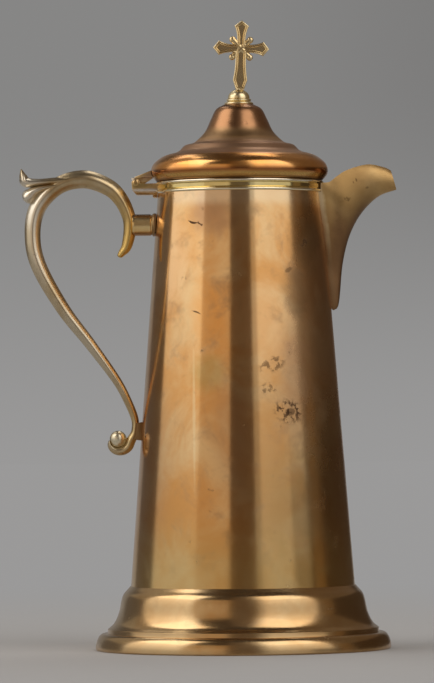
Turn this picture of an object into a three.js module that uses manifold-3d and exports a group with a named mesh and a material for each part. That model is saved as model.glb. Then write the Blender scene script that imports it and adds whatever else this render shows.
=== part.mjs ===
// Church flagon of sheet and cast brass: a tapered body on a spreading foot, a beaked spout, a scroll
// handle with a leaf at its crown, and a hinged bell-shaped lid that carries a cross.
// Millimetres, +Z up, spout towards +X, handle and hinge towards -X.

import * as THREE from 'three';
import { mergeVertices } from 'three/addons/utils/BufferGeometryUtils.js';
import Module from 'manifold-3d';

const wasm = await Module();
wasm.setup();

// Fits and facets
const fitGap = 0.3; // between two pieces that mate on a curved face
const solderClearance = 0.7; // between the lid and the fixed spout that it lifts past
const roundSides = 64;
const handleSteps = 68;
const smallSides = 20;

// Foot
const footHeight = 35.4;
const footRadius = 82.2;
const footWall = 1.6;
const footRollHeight = 9.3; // rounded moulding that meets the table
const footRollWidth = 4.6;
const footRollStep = 0.8; // its foot, set in and straight
const footLipWidth = 7; // edge turned in under the moulding
const footFasciaHeight = 2.4; // upright step between the moulding and the flare
const footFlareRadius = 75.4;
const footWaistRadius = 69.3;
const footShoulderRadius = 66.8;
const footSeatLedge = 0.4; // the foot's top stands out this far past the body
const footSeatWidth = 9; // flange that carries the body and the floor

// Body
const bodyHeight = 218.1;
const bodyBottomRadius = 62.3;
const bodyTopRadius = 45.6;
const bodyWall = 1.1;
const floorThickness = 1.2;
const floorRimHeight = 6;
const floorCrown = 1.5; // rise of the floor at its middle

// Strainer holes behind the spout, in rows that narrow downwards
const strainerRadius = 2;
const strainerPitch = 5.4;
const strainerTopDrop = 10.5; // first row below the top of the body
const strainerRows = [3, 2, 1, 1, 1];

// Mouth ring
const collarHeight = 6.5;
const collarProud = 1.3; // its beads stand out this far past the body
const collarBandProud = 0.5;
const collarBeadHeight = 1.5;
const spigotDepth = 6;
const spigotWall = 1.0;

// Lid
const lidLift = 0.3; // the closed lid above the mouth ring
const lidWall = 1.2;
const lidRimProud = 0.5; // underside of the lid past the body's top
const lidOverhang = 3.7; // the widest part of the lid past the body's top
const lidRollHeight = 15.8;
const lidRollWidth = 13.3; // from the widest part in to the groove
const lidRidgeWidth = 4.8; // from the groove in to the ridge
const lidRidgeHeight = 20.2;
const lidHeight = 42.6;
const lidTopRadius = 8.6;
const bezelClearance = 0.4; // inside the mouth ring
const bezelWall = 1.1;
const bezelDepth = 5; // below the lid's underside
const bezelFlangeWidth = 1.8;

// Finial
const knopRadius = 8.1;
const knopBeadRadius = 6.9;
const knopDomeRadius = 6.1;
const knopNeckRadius = 2.6;
const knopHeight = 8.3;
const studRadius = 1.6;
const washerRadius = 6;
const washerThickness = 0.8;
const nutAcrossFlats = 8;
const nutHeight = 2.8;
const studBeyondNut = 0.8;

// Cross
const crossFootGap = 0.3; // above the knop
const crossShaft = 22.8; // foot to crossing
const crossTopArm = 15.7;
const crossSideArm = 15.6;
const crossNeck = 2.3; // half widths across an arm
const crossShaftNeck = 3.1;
const crossShoulder = 4.0;
const crossFootHalf = 2.4;
const crossPoint = 3.2; // shoulders to the tip of an arm
const crossThickness = 3.2;
const crossBevel = 0.5;
const crossBorder = 1.0;
const crossRecess = 0.35;
const crossKnobRadius = 1.8; // rounded ends of the four rays between its arms
const crossKnobReach = 4.9;
const crossRayRadius = 1.6;
const crossRayFlatness = 0.7; // thickness of a ray over its width
const crossLean = 2.3; // degrees, towards the spout
const crossOffset = 0.65; // plate off its stud, towards the spout

// Hinge
const hingeReach = 10.8; // pin axis out from the mouth ring
const hingeDrop = 0.5; // pin axis below the top of the mouth ring
const hingeWidth = 13;
const hingeKnuckleRadius = 2.35;
const hingeMiddleWidth = 5; // the lid's knuckle, between the other two
const hingePinRadius = 1.05;
const hingePinClearance = 0.1; // running fit of the lid's knuckle on its pin
const hingePinHead = 0.5;
const hingePinHeadRadius = 1.7;
const hingeBlockDepth = 6.5; // underside below the pin axis
const hingeSweepRadius = 4.2; // slot that the lid's knuckle and lip turn in
const hingeLeafRise = 6.9; // top of the lid's leaf above the pin axis
const hingeLeafThickness = 3.4;
const hingeApronThickness = 1.3;
const hingeApronDepth = 8.2;

// Handle
const strutDrop = 17.2; // axis below the top of the body
const strutReach = 14.4; // body to the middle of the bar
const strutRadius = 6;
const bossRadius = 6.5;
const bossThickness = 1.8;
const lugRise = 86.1; // middle of the lug above the foot
const lugReach = 3.7; // body to the middle of the bar
const lugHeight = 11.6;
const lugWidth = 6;
const handleProjection = 54.3; // bar's outermost middle line beyond the strut's end
const archRise = 25.8; // bar's highest middle line above the strut
const barThickness = 10.1; // at the crown
const barMinimumWidth = 6;
const leafWidth = 9.4;
const knobRadius = 4.4; // ball in the eye of the lower scroll
const knobInset = 9.4; // from the bar at the lug
const knobDrop = 4.3;
const scrollBand = 5.5;
const scrollEnd = 1.1;

// Spout
const spoutProjection = 41.4; // tip beyond the top of the body
const spoutTipDrop = 4.2; // tip below the top of the mouth ring
const spoutRootDrop = 64.6; // lowest point of the root below the top of the body
const spoutRootProud = 2.9; // the keel there, out from the body
const spoutCrownRise = 8.1; // highest point of the rim above the mouth ring
const spoutMouthHeight = 9.4;
const spoutMouthHalf = 3.4;
const spoutRootHalf = 12.2; // half width where it meets the mouth ring
const spoutRootTipHalf = 2.5;
const spoutWall = 1.1;

// Places that follow from the sizes
const bodyTopZ = footHeight + bodyHeight;
const mouthZ = bodyTopZ + collarHeight;
const lidZ = mouthZ + lidLift;
const collarRadius = bodyTopRadius + collarProud;
const collarInnerRadius = bodyTopRadius - bodyWall - fitGap - spigotWall;
const bezelRadius = collarInnerRadius - bezelClearance;
const lidRimRadius = bodyTopRadius + lidRimProud;
const lidRadius = bodyTopRadius + lidOverhang;
const lidGrooveRadius = lidRadius - lidRollWidth;
const lidRidgeRadius = lidGrooveRadius - lidRidgeWidth;
const studBore = studRadius + fitGap;
const hingeX = -(collarRadius + hingeReach);
const hingeZ = mouthZ - hingeDrop;
const strutZ = bodyTopZ - strutDrop;
const strutX = -(bodyRadiusAt(strutZ) + strutReach);
const lugZ = footHeight + lugRise;
const lugX = -(bodyRadiusAt(lugZ) + lugReach);

// Finishes
const bodyBrass = { color: 0xb98346, roughness: 0.3, metalness: 1 };
const lidCopper = { color: 0xa9683a, roughness: 0.28, metalness: 1 };
const paleBrass = { color: 0xc8a35c, roughness: 0.25, metalness: 1 };
const handleBrass = { color: 0xb59a63, roughness: 0.3, metalness: 1 };
const darkBrass = { color: 0x8a6a3c, roughness: 0.45, metalness: 1 };

function bodyRadiusAt(z) {
  return bodyBottomRadius + (bodyTopRadius - bodyBottomRadius) * ((z - footHeight) / bodyHeight);
}

// Triangles of a closed mesh with its shared corners merged and its faces pointing out.
function closed(geometry) {
  const bare = geometry.clone();
  bare.deleteAttribute('normal');
  bare.deleteAttribute('uv');
  const merged = mergeVertices(bare, 1e-4);
  const place = merged.attributes.position;
  const corners = merged.index.array;
  const kept = [];
  let volume = 0;
  for (let i = 0; i < corners.length; i += 3) {
    const [a, b, c] = corners.slice(i, i + 3);
    if (a === b || b === c || c === a) continue;
    kept.push(a, b, c);
    const p = new THREE.Vector3().fromBufferAttribute(place, a);
    const q = new THREE.Vector3().fromBufferAttribute(place, b);
    const r = new THREE.Vector3().fromBufferAttribute(place, c);
    volume += p.dot(q.cross(r));
  }
  merged.setIndex(volume < 0 ? kept.reverse() : kept);
  return merged;
}

function solid(geometry) {
  const mesh = closed(geometry);
  const vertProperties = new Float32Array(mesh.attributes.position.array);
  const triVerts = new Uint32Array(mesh.index.array);
  return new wasm.Manifold(new wasm.Mesh({ numProp: 3, vertProperties, triVerts }));
}

function shape(manifold) {
  const mesh = manifold.getMesh();
  const geometry = new THREE.BufferGeometry();
  geometry.setAttribute('position', new THREE.BufferAttribute(mesh.vertProperties, 3));
  geometry.setIndex(new THREE.BufferAttribute(mesh.triVerts, 1));
  return geometry;
}

// Solid turned about the Z axis. The profile lists [radius, height] and ends on the axis or closes on itself.
function turned(profile, sides = roundSides) {
  const line = profile.map(([radius, height]) => new THREE.Vector2(radius, height));
  const geometry = new THREE.LatheGeometry(line, sides);
  geometry.rotateX(Math.PI / 2);
  return geometry;
}

function ringProfile(points) {
  return [...points, points[0]];
}

// Points along a smooth line through the given ones.
function smooth(points, steps) {
  const line = new THREE.SplineCurve(points.map(([a, b]) => new THREE.Vector2(a, b)));
  return line.getPoints(steps).map((p) => [p.x, p.y]);
}

// An open line moved sideways: to its left where the distance is positive.
function offsetLine(points, distance) {
  return points.map((point, i) => {
    const before = points[Math.max(i - 1, 0)];
    const after = points[Math.min(i + 1, points.length - 1)];
    const along = new THREE.Vector2(after[0] - before[0], after[1] - before[1]).normalize();
    return [point[0] - along.y * distance, point[1] + along.x * distance];
  });
}

// The hidden side of a sheet keeps fewer points than its visible side.
function everySecond(points) {
  return points.filter((point, i) => i % 2 === 0);
}

// A closed outline drawn in by the distance, where it runs anticlockwise.
function insetLoop(points, distance) {
  const count = points.length;
  return points.map((point, i) => {
    const before = points[(i + count - 1) % count];
    const after = points[(i + 1) % count];
    const inward = new THREE.Vector2(point[0] - before[0], point[1] - before[1]).normalize();
    const outward = new THREE.Vector2(after[0] - point[0], after[1] - point[1]).normalize();
    const miter = new THREE.Vector2(-(inward.y + outward.y), inward.x + outward.x).normalize();
    const reach = distance / Math.max(0.4, -miter.x * outward.y + miter.y * outward.x);
    return [point[0] + miter.x * reach, point[1] + miter.y * reach];
  });
}

// A flat outline in X and Z, thickened along Y and centred on y.
function slab(points, width, y = 0, bevel = 0) {
  const outline = new THREE.Shape(points.map(([a, b]) => new THREE.Vector2(a, b)));
  const geometry = new THREE.ExtrudeGeometry(outline, {
    depth: width - 2 * bevel,
    bevelEnabled: bevel > 0,
    bevelThickness: bevel,
    bevelSize: bevel,
    bevelOffset: -bevel,
    bevelSegments: 1,
  });
  geometry.rotateX(Math.PI / 2);
  geometry.translate(0, y + width / 2 - bevel, 0);
  return geometry;
}

// A round bar along Y, centred on x and z.
function crossBar(radius, length, x, z, sides = smallSides) {
  return new THREE.CylinderGeometry(radius, radius, length, sides).translate(x, 0, z);
}

// A skin through rings of equal counts, closed at both ends.
function loft(rings) {
  const count = rings[0].length;
  const places = rings.flat();
  const corners = [];
  for (let i = 0; i + 1 < rings.length; i += 1) {
    for (let k = 0; k < count; k += 1) {
      const a = i * count + k;
      const b = i * count + ((k + 1) % count);
      corners.push(a, b, b + count, a, b + count, a + count);
    }
  }
  for (const [ring, turnedRound] of [[0, true], [rings.length - 1, false]]) {
    const middle = places.length;
    const centre = new THREE.Vector3();
    rings[ring].forEach((p) => centre.addScaledVector(p, 1 / count));
    places.push(centre);
    for (let k = 0; k < count; k += 1) {
      const a = ring * count + k;
      const b = ring * count + ((k + 1) % count);
      corners.push(...(turnedRound ? [middle, b, a] : [middle, a, b]));
    }
  }
  const geometry = new THREE.BufferGeometry();
  geometry.setAttribute('position', new THREE.Float32BufferAttribute(places.flatMap((p) => p.toArray()), 3));
  geometry.setIndex(corners);
  return geometry;
}

// A cast bar whose middle line lies in the XZ plane. Each point is [x, z, thickness, width].
function castBar(points, steps, grow = 0, sides = 12) {
  const middle = new THREE.CatmullRomCurve3(points.map((p) => new THREE.Vector3(p[0], 0, p[1])), false, 'catmullrom');
  const section = new THREE.CatmullRomCurve3(points.map((p) => new THREE.Vector3(p[2], p[3], 0)), false, 'catmullrom');
  const roundness = 1.12; // above 1 the section draws to a soft edge at each side
  const rings = [];
  for (let i = 0; i <= steps; i += 1) {
    const centre = middle.getPoint(i / steps);
    const along = middle.getTangent(i / steps);
    const across = new THREE.Vector3(-along.z, 0, along.x);
    const size = section.getPoint(i / steps);
    const ring = [];
    for (let k = 0; k < sides; k += 1) {
      const turn = (2 * Math.PI * k) / sides;
      const c = Math.sign(Math.cos(turn)) * Math.abs(Math.cos(turn)) ** roundness;
      const s = Math.sign(Math.sin(turn)) * Math.abs(Math.sin(turn)) ** roundness;
      const p = centre.clone().addScaledVector(across, c * (size.x / 2 + grow));
      p.y += s * (size.y / 2 + grow);
      ring.push(p);
    }
    rings.push(ring);
  }
  return loft(rings);
}

// Foot: rounded moulding, upright step, hollow flare, shoulder and cove, open underneath.
function footSkirt() {
  const roll = [];
  for (let i = 0; i <= 5; i += 1) {
    const turn = (Math.PI / 2) * (i / 5);
    const r = footRadius - footRollWidth * (1 - Math.cos(turn));
    roll.push([r, footRollStep + (footRollHeight - footRollStep) * Math.sin(turn)]);
  }
  const flareZ = footRollHeight + footFasciaHeight;
  const rise = footHeight - flareZ;
  const flare = smooth([
    [footFlareRadius, flareZ],
    [footFlareRadius - 0.56 * (footFlareRadius - footWaistRadius), flareZ + 0.13 * rise],
    [footWaistRadius, flareZ + 0.37 * rise],
    [footShoulderRadius + 0.35 * (footWaistRadius - footShoulderRadius), flareZ + 0.68 * rise],
    [footShoulderRadius - 0.4, flareZ + 0.82 * rise],
    [bodyBottomRadius + 0.45 * (footShoulderRadius - bodyBottomRadius), flareZ + 0.92 * rise],
    [bodyBottomRadius + footSeatLedge, footHeight],
  ], 12);
  const base = footRadius - 0.6 * footRollStep;
  const outside = [[base, 0], ...roll, [footFlareRadius, footRollHeight], ...flare];
  const inside = everySecond(offsetLine(outside, footWall))
    .filter(([, z]) => z > footWall && z < footHeight - footWall);
  const seatInner = bodyBottomRadius - footSeatWidth;
  const lipInner = footRadius - footLipWidth;
  return turned(ringProfile([
    ...outside,
    [seatInner, footHeight],
    [seatInner, footHeight - footWall],
    [inside.at(-1)[0], footHeight - footWall],
    ...inside.reverse(),
    [base - footWall, footWall],
    [lipInner, footWall],
    [lipInner, 0],
  ]));
}

function bodySection(wall) {
  return ringProfile([
    [bodyBottomRadius, footHeight],
    [bodyTopRadius, bodyTopZ],
    [bodyTopRadius - wall, bodyTopZ],
    [bodyBottomRadius - wall, footHeight],
  ]);
}

// Body: tapered sheet, pierced behind the spout.
function bodyShell() {
  let shell = solid(turned(bodySection(bodyWall)));
  strainerRows.forEach((count, row) => {
    const z = bodyTopZ - strainerTopDrop - row * strainerPitch;
    for (let i = 0; i < count; i += 1) {
      const hole = new THREE.CylinderGeometry(strainerRadius, strainerRadius, 8 * bodyWall, 10);
      hole.rotateZ(Math.PI / 2);
      hole.translate(bodyRadiusAt(z) - bodyWall, (i - (count - 1) / 2) * strainerPitch, z);
      shell = shell.subtract(solid(hole));
    }
  });
  return shape(shell);
}

// Floor: dished disc with an upturned edge, standing on the foot's flange inside the body.
function bodyFloor() {
  const edgeAt = (z) => bodyRadiusAt(z) - bodyWall - fitGap;
  const rimZ = footHeight + floorRimHeight;
  const dishRadius = edgeAt(rimZ) - floorThickness - footSeatWidth;
  const crownZ = footHeight + floorThickness + floorCrown;
  return turned([
    [0, crownZ],
    [dishRadius / 2, crownZ - 0.3 * floorCrown],
    [dishRadius, footHeight + floorThickness],
    [edgeAt(rimZ) - 2 * floorThickness, footHeight + floorThickness],
    [edgeAt(rimZ) - floorThickness, footHeight + 2 * floorThickness],
    [edgeAt(rimZ) - floorThickness, rimZ],
    [edgeAt(rimZ), rimZ],
    [edgeAt(footHeight), footHeight],
    [dishRadius, footHeight],
    [dishRadius / 2, crownZ - 0.3 * floorCrown - floorThickness],
    [0, crownZ - floorThickness],
  ]);
}

// Half-round bead on a turned profile, from one height to another.
function bead(radius, proud, fromZ, toZ, steps = 4) {
  const points = [];
  for (let i = 0; i <= steps; i += 1) {
    const turn = (Math.PI * i) / steps;
    points.push([radius + proud * Math.sin(turn), fromZ + (toZ - fromZ) * (1 - Math.cos(turn)) / 2]);
  }
  return points;
}

// Mouth ring: two beads with a band between, and a spigot inside the body.
function mouthCollar() {
  const bandRadius = bodyTopRadius + collarBandProud;
  const spigotRadius = bodyTopRadius - bodyWall - fitGap;
  const proud = collarProud - collarBandProud;
  return turned(ringProfile([
    [collarInnerRadius, bodyTopZ - spigotDepth],
    [spigotRadius, bodyTopZ - spigotDepth],
    [spigotRadius, bodyTopZ],
    ...bead(bandRadius, proud, bodyTopZ, bodyTopZ + collarBeadHeight),
    ...bead(bandRadius, proud, mouthZ - collarBeadHeight, mouthZ),
    [collarInnerRadius, mouthZ],
  ]));
}

// Outer line of the lid from its rim to its flat top, as heights above its underside.
function lidOutline() {
  const ridgeRise = lidRidgeHeight - lidRollHeight;
  const roll = smooth([
    [lidRimRadius, 0],
    [lidRadius - 0.1, 0.26 * lidRollHeight],
    [lidRadius - 1, 0.58 * lidRollHeight],
    [lidRadius - 5.4, 0.83 * lidRollHeight],
    [lidRadius - 9.7, 0.945 * lidRollHeight],
    [lidGrooveRadius, lidRollHeight],
  ], 9);
  const ridge = smooth([
    [lidGrooveRadius - 0.5, lidRollHeight + 0.2],
    [lidRidgeRadius + 0.45 * lidRidgeWidth, lidRollHeight + 0.3 * ridgeRise],
    [lidRidgeRadius + 0.7, lidRollHeight + 0.65 * ridgeRise],
    [lidRidgeRadius - 0.6, lidRidgeHeight - 0.3],
    [lidRidgeRadius - 2.2, lidRidgeHeight + 0.3],
  ], 5);
  const bell = smooth([
    [lidRidgeRadius - 4, lidRidgeHeight + 0.6],
    [lidRidgeRadius - 6.9, lidRidgeHeight + 2],
    [lidTopRadius + 10.5, 0.645 * lidHeight],
    [lidTopRadius + 7.3, 0.8 * lidHeight],
    [lidTopRadius + 4.2, 0.94 * lidHeight],
    [lidTopRadius, lidHeight],
  ], 9);
  return [...roll, ...ridge, ...bell];
}

// Everything inside the lid's outer line, grown by a distance.
function lidEnvelope(grow) {
  const outline = offsetLine(lidOutline(), -grow).filter(([, z]) => z < lidRollHeight);
  return turned([[0, -grow], [lidRimRadius, -grow], ...outline, [0, lidRollHeight]]);
}

function lidShell() {
  const outside = lidOutline();
  const opening = bezelRadius + fitGap;
  const inside = everySecond(offsetLine(outside, lidWall))
    .filter(([, z]) => z > lidWall && z < lidHeight - lidWall);
  return turned(ringProfile([
    ...outside,
    [studBore, lidHeight],
    [studBore, lidHeight - lidWall],
    [lidTopRadius - 0.3 * lidWall, lidHeight - lidWall],
    ...inside.reverse(),
    [inside.at(-1)[0], lidWall],
    [opening, lidWall],
    [opening, 0],
  ]));
}

// Bezel: ring that keeps the lid centred in the mouth, with a flange on the lid's turned-in rim.
function lidBezel() {
  const flangeZ = lidWall + fitGap;
  return turned(ringProfile([
    [bezelRadius - bezelWall, -bezelDepth],
    [bezelRadius, -bezelDepth],
    [bezelRadius, flangeZ],
    [bezelRadius + bezelFlangeWidth, flangeZ],
    [bezelRadius + bezelFlangeWidth, flangeZ + bezelWall],
    [bezelRadius - bezelWall, flangeZ + bezelWall],
  ]));
}

// Knop: flange, bead and dome, bored for the stud of the cross.
function finialKnop() {
  const dome = smooth([
    [knopDomeRadius, 0.43 * knopHeight],
    [0.95 * knopDomeRadius, 0.62 * knopHeight],
    [0.81 * knopDomeRadius, 0.79 * knopHeight],
    [0.6 * knopDomeRadius, 0.92 * knopHeight],
    [knopNeckRadius, knopHeight],
  ], 8);
  return turned(ringProfile([
    [studBore, 0],
    [knopRadius, 0],
    [knopRadius, 0.14 * knopHeight],
    [knopRadius - 0.6, 0.2 * knopHeight],
    [knopBeadRadius - 0.5, 0.22 * knopHeight],
    ...bead(knopBeadRadius - 0.4, 0.4, 0.24 * knopHeight, 0.38 * knopHeight),
    [knopDomeRadius - 0.4, 0.4 * knopHeight],
    ...dome,
    [studBore, knopHeight],
  ]), 40);
}

// One arm of the cross, drawn out along +X: neck, flare, two shoulders and its end.
function armOutline(length, neck, inner, end) {
  const shoulderAt = length - end.back;
  const flare = new THREE.QuadraticBezierCurve(
    new THREE.Vector2(inner, neck),
    new THREE.Vector2(inner + 0.55 * (shoulderAt - inner), 0.82 * neck),
    new THREE.Vector2(shoulderAt, crossShoulder),
  ).getPoints(5);
  const upper = flare.map((p) => [p.x, p.y]);
  if (end.half > 0) upper.push([length, end.half]);
  const lower = upper.map(([x, y]) => [x, -y]);
  const tip = end.half > 0 ? [] : [[length, 0]];
  return [...lower, ...tip, ...upper.reverse()];
}

function crossOutline() {
  const point = { back: crossPoint, half: 0 };
  const foot = { back: crossShaft * 0.225, half: crossFootHalf };
  const arms = [
    armOutline(crossSideArm, crossNeck, crossShaftNeck, point),
    armOutline(crossTopArm, crossNeck, crossNeck, point),
    armOutline(crossSideArm, crossNeck, crossShaftNeck, point),
    armOutline(crossShaft, crossShaftNeck, crossNeck, foot),
  ];
  const around = arms.flatMap((arm, i) => arm.map(([x, y]) => (
    new THREE.Vector2(x, y).rotateAround(new THREE.Vector2(), (i * Math.PI) / 2)
  )));
  const apart = around.filter((p, i) => p.distanceTo(around.at(i - 1)) > 1e-3);
  return apart.map((p) => [p.x, p.y]);
}

// Cross: bevelled plate with a sunk field on both faces, four flat rays in its angles, and a stud below.
// Its foot is at height zero, and the plate leans from there.
function crossPiece() {
  const outline = crossOutline();
  let plate = solid(slab(outline, crossThickness, 0, crossBevel));
  for (const [x, z] of [[1, 1], [1, -1], [-1, 1], [-1, -1]]) {
    const knob = new THREE.SphereGeometry(crossKnobRadius, 12, 8).scale(1, crossRayFlatness, 1);
    plate = plate.add(solid(knob.translate(x * crossKnobReach, 0, z * crossKnobReach)));
  }
  for (const turn of [Math.PI / 4, -Math.PI / 4]) {
    const ray = new THREE.CylinderGeometry(crossRayRadius, crossRayRadius, 2 * Math.SQRT2 * crossKnobReach, 8);
    ray.rotateX(Math.PI / 2).rotateY(turn).scale(1, crossRayFlatness, 1);
    plate = plate.add(solid(ray));
  }
  const field = insetLoop(outline, crossBorder + crossBevel);
  for (const side of [1, -1]) {
    plate = plate.subtract(solid(slab(field, 2 * crossRecess, (side * crossThickness) / 2)));
  }
  const leaned = shape(plate).translate(0, 0, crossShaft);
  leaned.rotateY(THREE.MathUtils.degToRad(crossLean)).translate(crossOffset, 0, 0);
  const nutStack = lidWall + washerThickness + nutHeight + studBeyondNut;
  const studLength = crossFootGap + knopHeight + nutStack + crossFootHalf;
  const stud = new THREE.CylinderGeometry(studRadius, studRadius, studLength, 12);
  stud.rotateX(Math.PI / 2);
  stud.translate(0, 0, crossFootHalf - studLength / 2);
  return shape(solid(leaned).add(solid(stud)));
}

function finialWasher() {
  return turned(ringProfile([
    [studBore, 0],
    [washerRadius, 0],
    [washerRadius, washerThickness],
    [studBore, washerThickness],
  ]), 24);
}

function finialNut() {
  const hexagon = new THREE.Shape();
  for (let i = 0; i < 6; i += 1) {
    const turn = (Math.PI / 3) * i;
    const corner = nutAcrossFlats / Math.sqrt(3);
    const step = i === 0 ? 'moveTo' : 'lineTo';
    hexagon[step](corner * Math.cos(turn), corner * Math.sin(turn));
  }
  const bore = new THREE.Path();
  bore.absarc(0, 0, studBore, 0, 2 * Math.PI, true);
  hexagon.holes.push(bore);
  return new THREE.ExtrudeGeometry(hexagon, { depth: nutHeight, bevelEnabled: false, curveSegments: 12 });
}

function hingeSlab(points, width, y = 0) {
  return solid(slab(points.map(([x, z]) => [hingeX + x, hingeZ + z]), width, y));
}

// Everything inside the mouth ring's outer line, grown by a distance, and the same width carried down.
function collarEnvelope(grow) {
  const band = bodyTopRadius + collarBandProud + grow;
  const proud = collarProud - collarBandProud;
  const low = bodyTopZ - hingeBlockDepth;
  return solid(turned([
    [0, low],
    [collarRadius + grow, low],
    ...bead(band, proud, bodyTopZ - grow, bodyTopZ + collarBeadHeight + grow).slice(2),
    ...bead(band, proud, mouthZ - collarBeadHeight - grow, mouthZ + grow),
    [0, mouthZ + grow],
  ]));
}

// Hinge leaf of the vessel: block with two outer knuckles, and an apron on the mouth ring.
function hingeBodyLeaf() {
  const inner = collarRadius + fitGap;
  const blockEnd = hingeReach + collarProud;
  const top = -fitGap;
  const outline = [[blockEnd, top]];
  for (let i = 0; i <= 12; i += 1) {
    const turn = -0.13 + ((Math.PI + 0.13) * i) / 12;
    outline.push([hingeKnuckleRadius * Math.cos(turn), hingeKnuckleRadius * Math.sin(turn)]);
  }
  outline.push([0.35 - hingeKnuckleRadius, -0.6 * hingeBlockDepth]);
  outline.push([0.4, -hingeBlockDepth], [blockEnd, -hingeBlockDepth]);
  let block = hingeSlab(outline, hingeWidth);
  for (const side of [1, -1]) {
    const chamfer = new THREE.BoxGeometry(4 * hingeReach, 4, 4).rotateX(Math.PI / 4);
    chamfer.translate(hingeX, (side * hingeWidth) / 2, hingeZ - hingeBlockDepth - 0.6);
    block = block.subtract(solid(chamfer));
  }
  block = block.subtract(collarEnvelope(fitGap));
  const slotWidth = hingeMiddleWidth + 2 * fitGap;
  block = block.subtract(solid(crossBar(hingeSweepRadius, slotWidth, hingeX, hingeZ, 32)));
  block = block.subtract(solid(crossBar(hingePinRadius + hingePinClearance, 2 * hingeWidth, hingeX, hingeZ)));
  const lipZ = bodyTopZ - fitGap;
  const endZ = hingeZ - hingeApronDepth;
  const ring = solid(turned(ringProfile([
    [inner, hingeZ + top],
    [inner, lipZ],
    [bodyTopRadius + fitGap, lipZ],
    [bodyRadiusAt(endZ) + fitGap, endZ],
    [inner + hingeApronThickness, endZ],
    [inner + hingeApronThickness, hingeZ + top],
  ])));
  const half = hingeWidth / 2;
  const shield = new THREE.Shape();
  shield.moveTo(-half, hingeZ);
  shield.lineTo(-half, hingeZ - 0.55 * hingeApronDepth);
  shield.quadraticCurveTo(-0.9 * half, endZ + 0.5, 0, endZ);
  shield.quadraticCurveTo(0.9 * half, endZ + 0.5, half, hingeZ - 0.55 * hingeApronDepth);
  shield.lineTo(half, hingeZ);
  const window = new THREE.ExtrudeGeometry(shield, { depth: 4 * hingeReach, bevelEnabled: false, curveSegments: 6 });
  window.rotateX(Math.PI / 2).rotateZ(-Math.PI / 2);
  window.translate(-collarRadius - 2 * hingeReach, 0, 0);
  return shape(block.add(ring.intersect(solid(window))));
}

function hingePin() {
  const half = hingeWidth / 2;
  const tail = half + hingePinHead;
  const geometry = turned([
    [0, -tail],
    [0.7 * hingePinHeadRadius, -tail],
    [hingePinHeadRadius, -half],
    [hingePinRadius, -half],
    [hingePinRadius, half],
    [hingePinHeadRadius, half],
    [0.7 * hingePinHeadRadius, tail],
    [0, tail],
  ], 16);
  return geometry.rotateX(Math.PI / 2).translate(hingeX, 0, hingeZ);
}

// Hinge leaf of the lid: plate from the lid's roll to the pin, with the middle knuckle and a short lip.
function hingeLidLeaf() {
  const plateEnd = collarRadius + hingeReach - lidRadius;
  const slope = 0.4;
  const leafTop = (x) => hingeLeafRise - (plateEnd - x) * slope;
  const under = hingeLeafRise - hingeLeafThickness;
  const plate = hingeSlab([
    [-0.7, leafTop(-0.7)],
    [-0.7, hingeKnuckleRadius + 0.05],
    [0.6 * hingeKnuckleRadius, hingeKnuckleRadius + 0.15],
    [0.43 * plateEnd, under - 0.3],
    [plateEnd + 4, under],
    [plateEnd + 4, hingeLeafRise],
    [plateEnd, hingeLeafRise],
  ], hingeWidth);
  const ears = solid(crossBar(hingeKnuckleRadius + fitGap, 2 * hingeWidth, hingeX, hingeZ, 32));
  const web = hingeSlab([
    [-0.7, leafTop(-0.7)],
    [-hingeKnuckleRadius, hingeKnuckleRadius + 0.75],
    [-hingeKnuckleRadius - 0.2, hingeKnuckleRadius],
    [-0.6 * hingeKnuckleRadius, 0.4 * hingeKnuckleRadius],
    [0, -0.9 * hingeKnuckleRadius],
    [0.6 * plateEnd, 0.1],
    [plateEnd + 1.2, under - 0.6],
    [plateEnd + 1.2, hingeLeafRise],
    [plateEnd, hingeLeafRise],
  ], hingeMiddleWidth);
  const knuckle = solid(crossBar(hingeKnuckleRadius, hingeMiddleWidth, hingeX, hingeZ));
  const bore = solid(crossBar(hingePinRadius + hingePinClearance, 2 * hingeWidth, hingeX, hingeZ));
  const lid = solid(lidEnvelope(fitGap).translate(0, 0, lidZ));
  return shape(plate.subtract(ears).add(web).add(knuckle).subtract(bore).subtract(lid));
}

// A point of the scroll: out from the line between strut and lug, and up by a share of the rise
// above the strut or of the drop below it.
function scrollPoint(out, up) {
  const z = up > 0 ? strutZ + up * archRise : strutZ + up * (strutZ - lugZ);
  const line = THREE.MathUtils.lerp(strutX, lugX, Math.max(0, -up));
  return [line - out * handleProjection, z];
}

function scrollBar(rows) {
  return rows.map(([out, up, thickness, width]) => {
    const [x, z] = scrollPoint(out, up);
    const wide = width ?? Math.max(thickness * barThickness, barMinimumWidth);
    return [x, z, thickness * barThickness, wide];
  });
}

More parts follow.
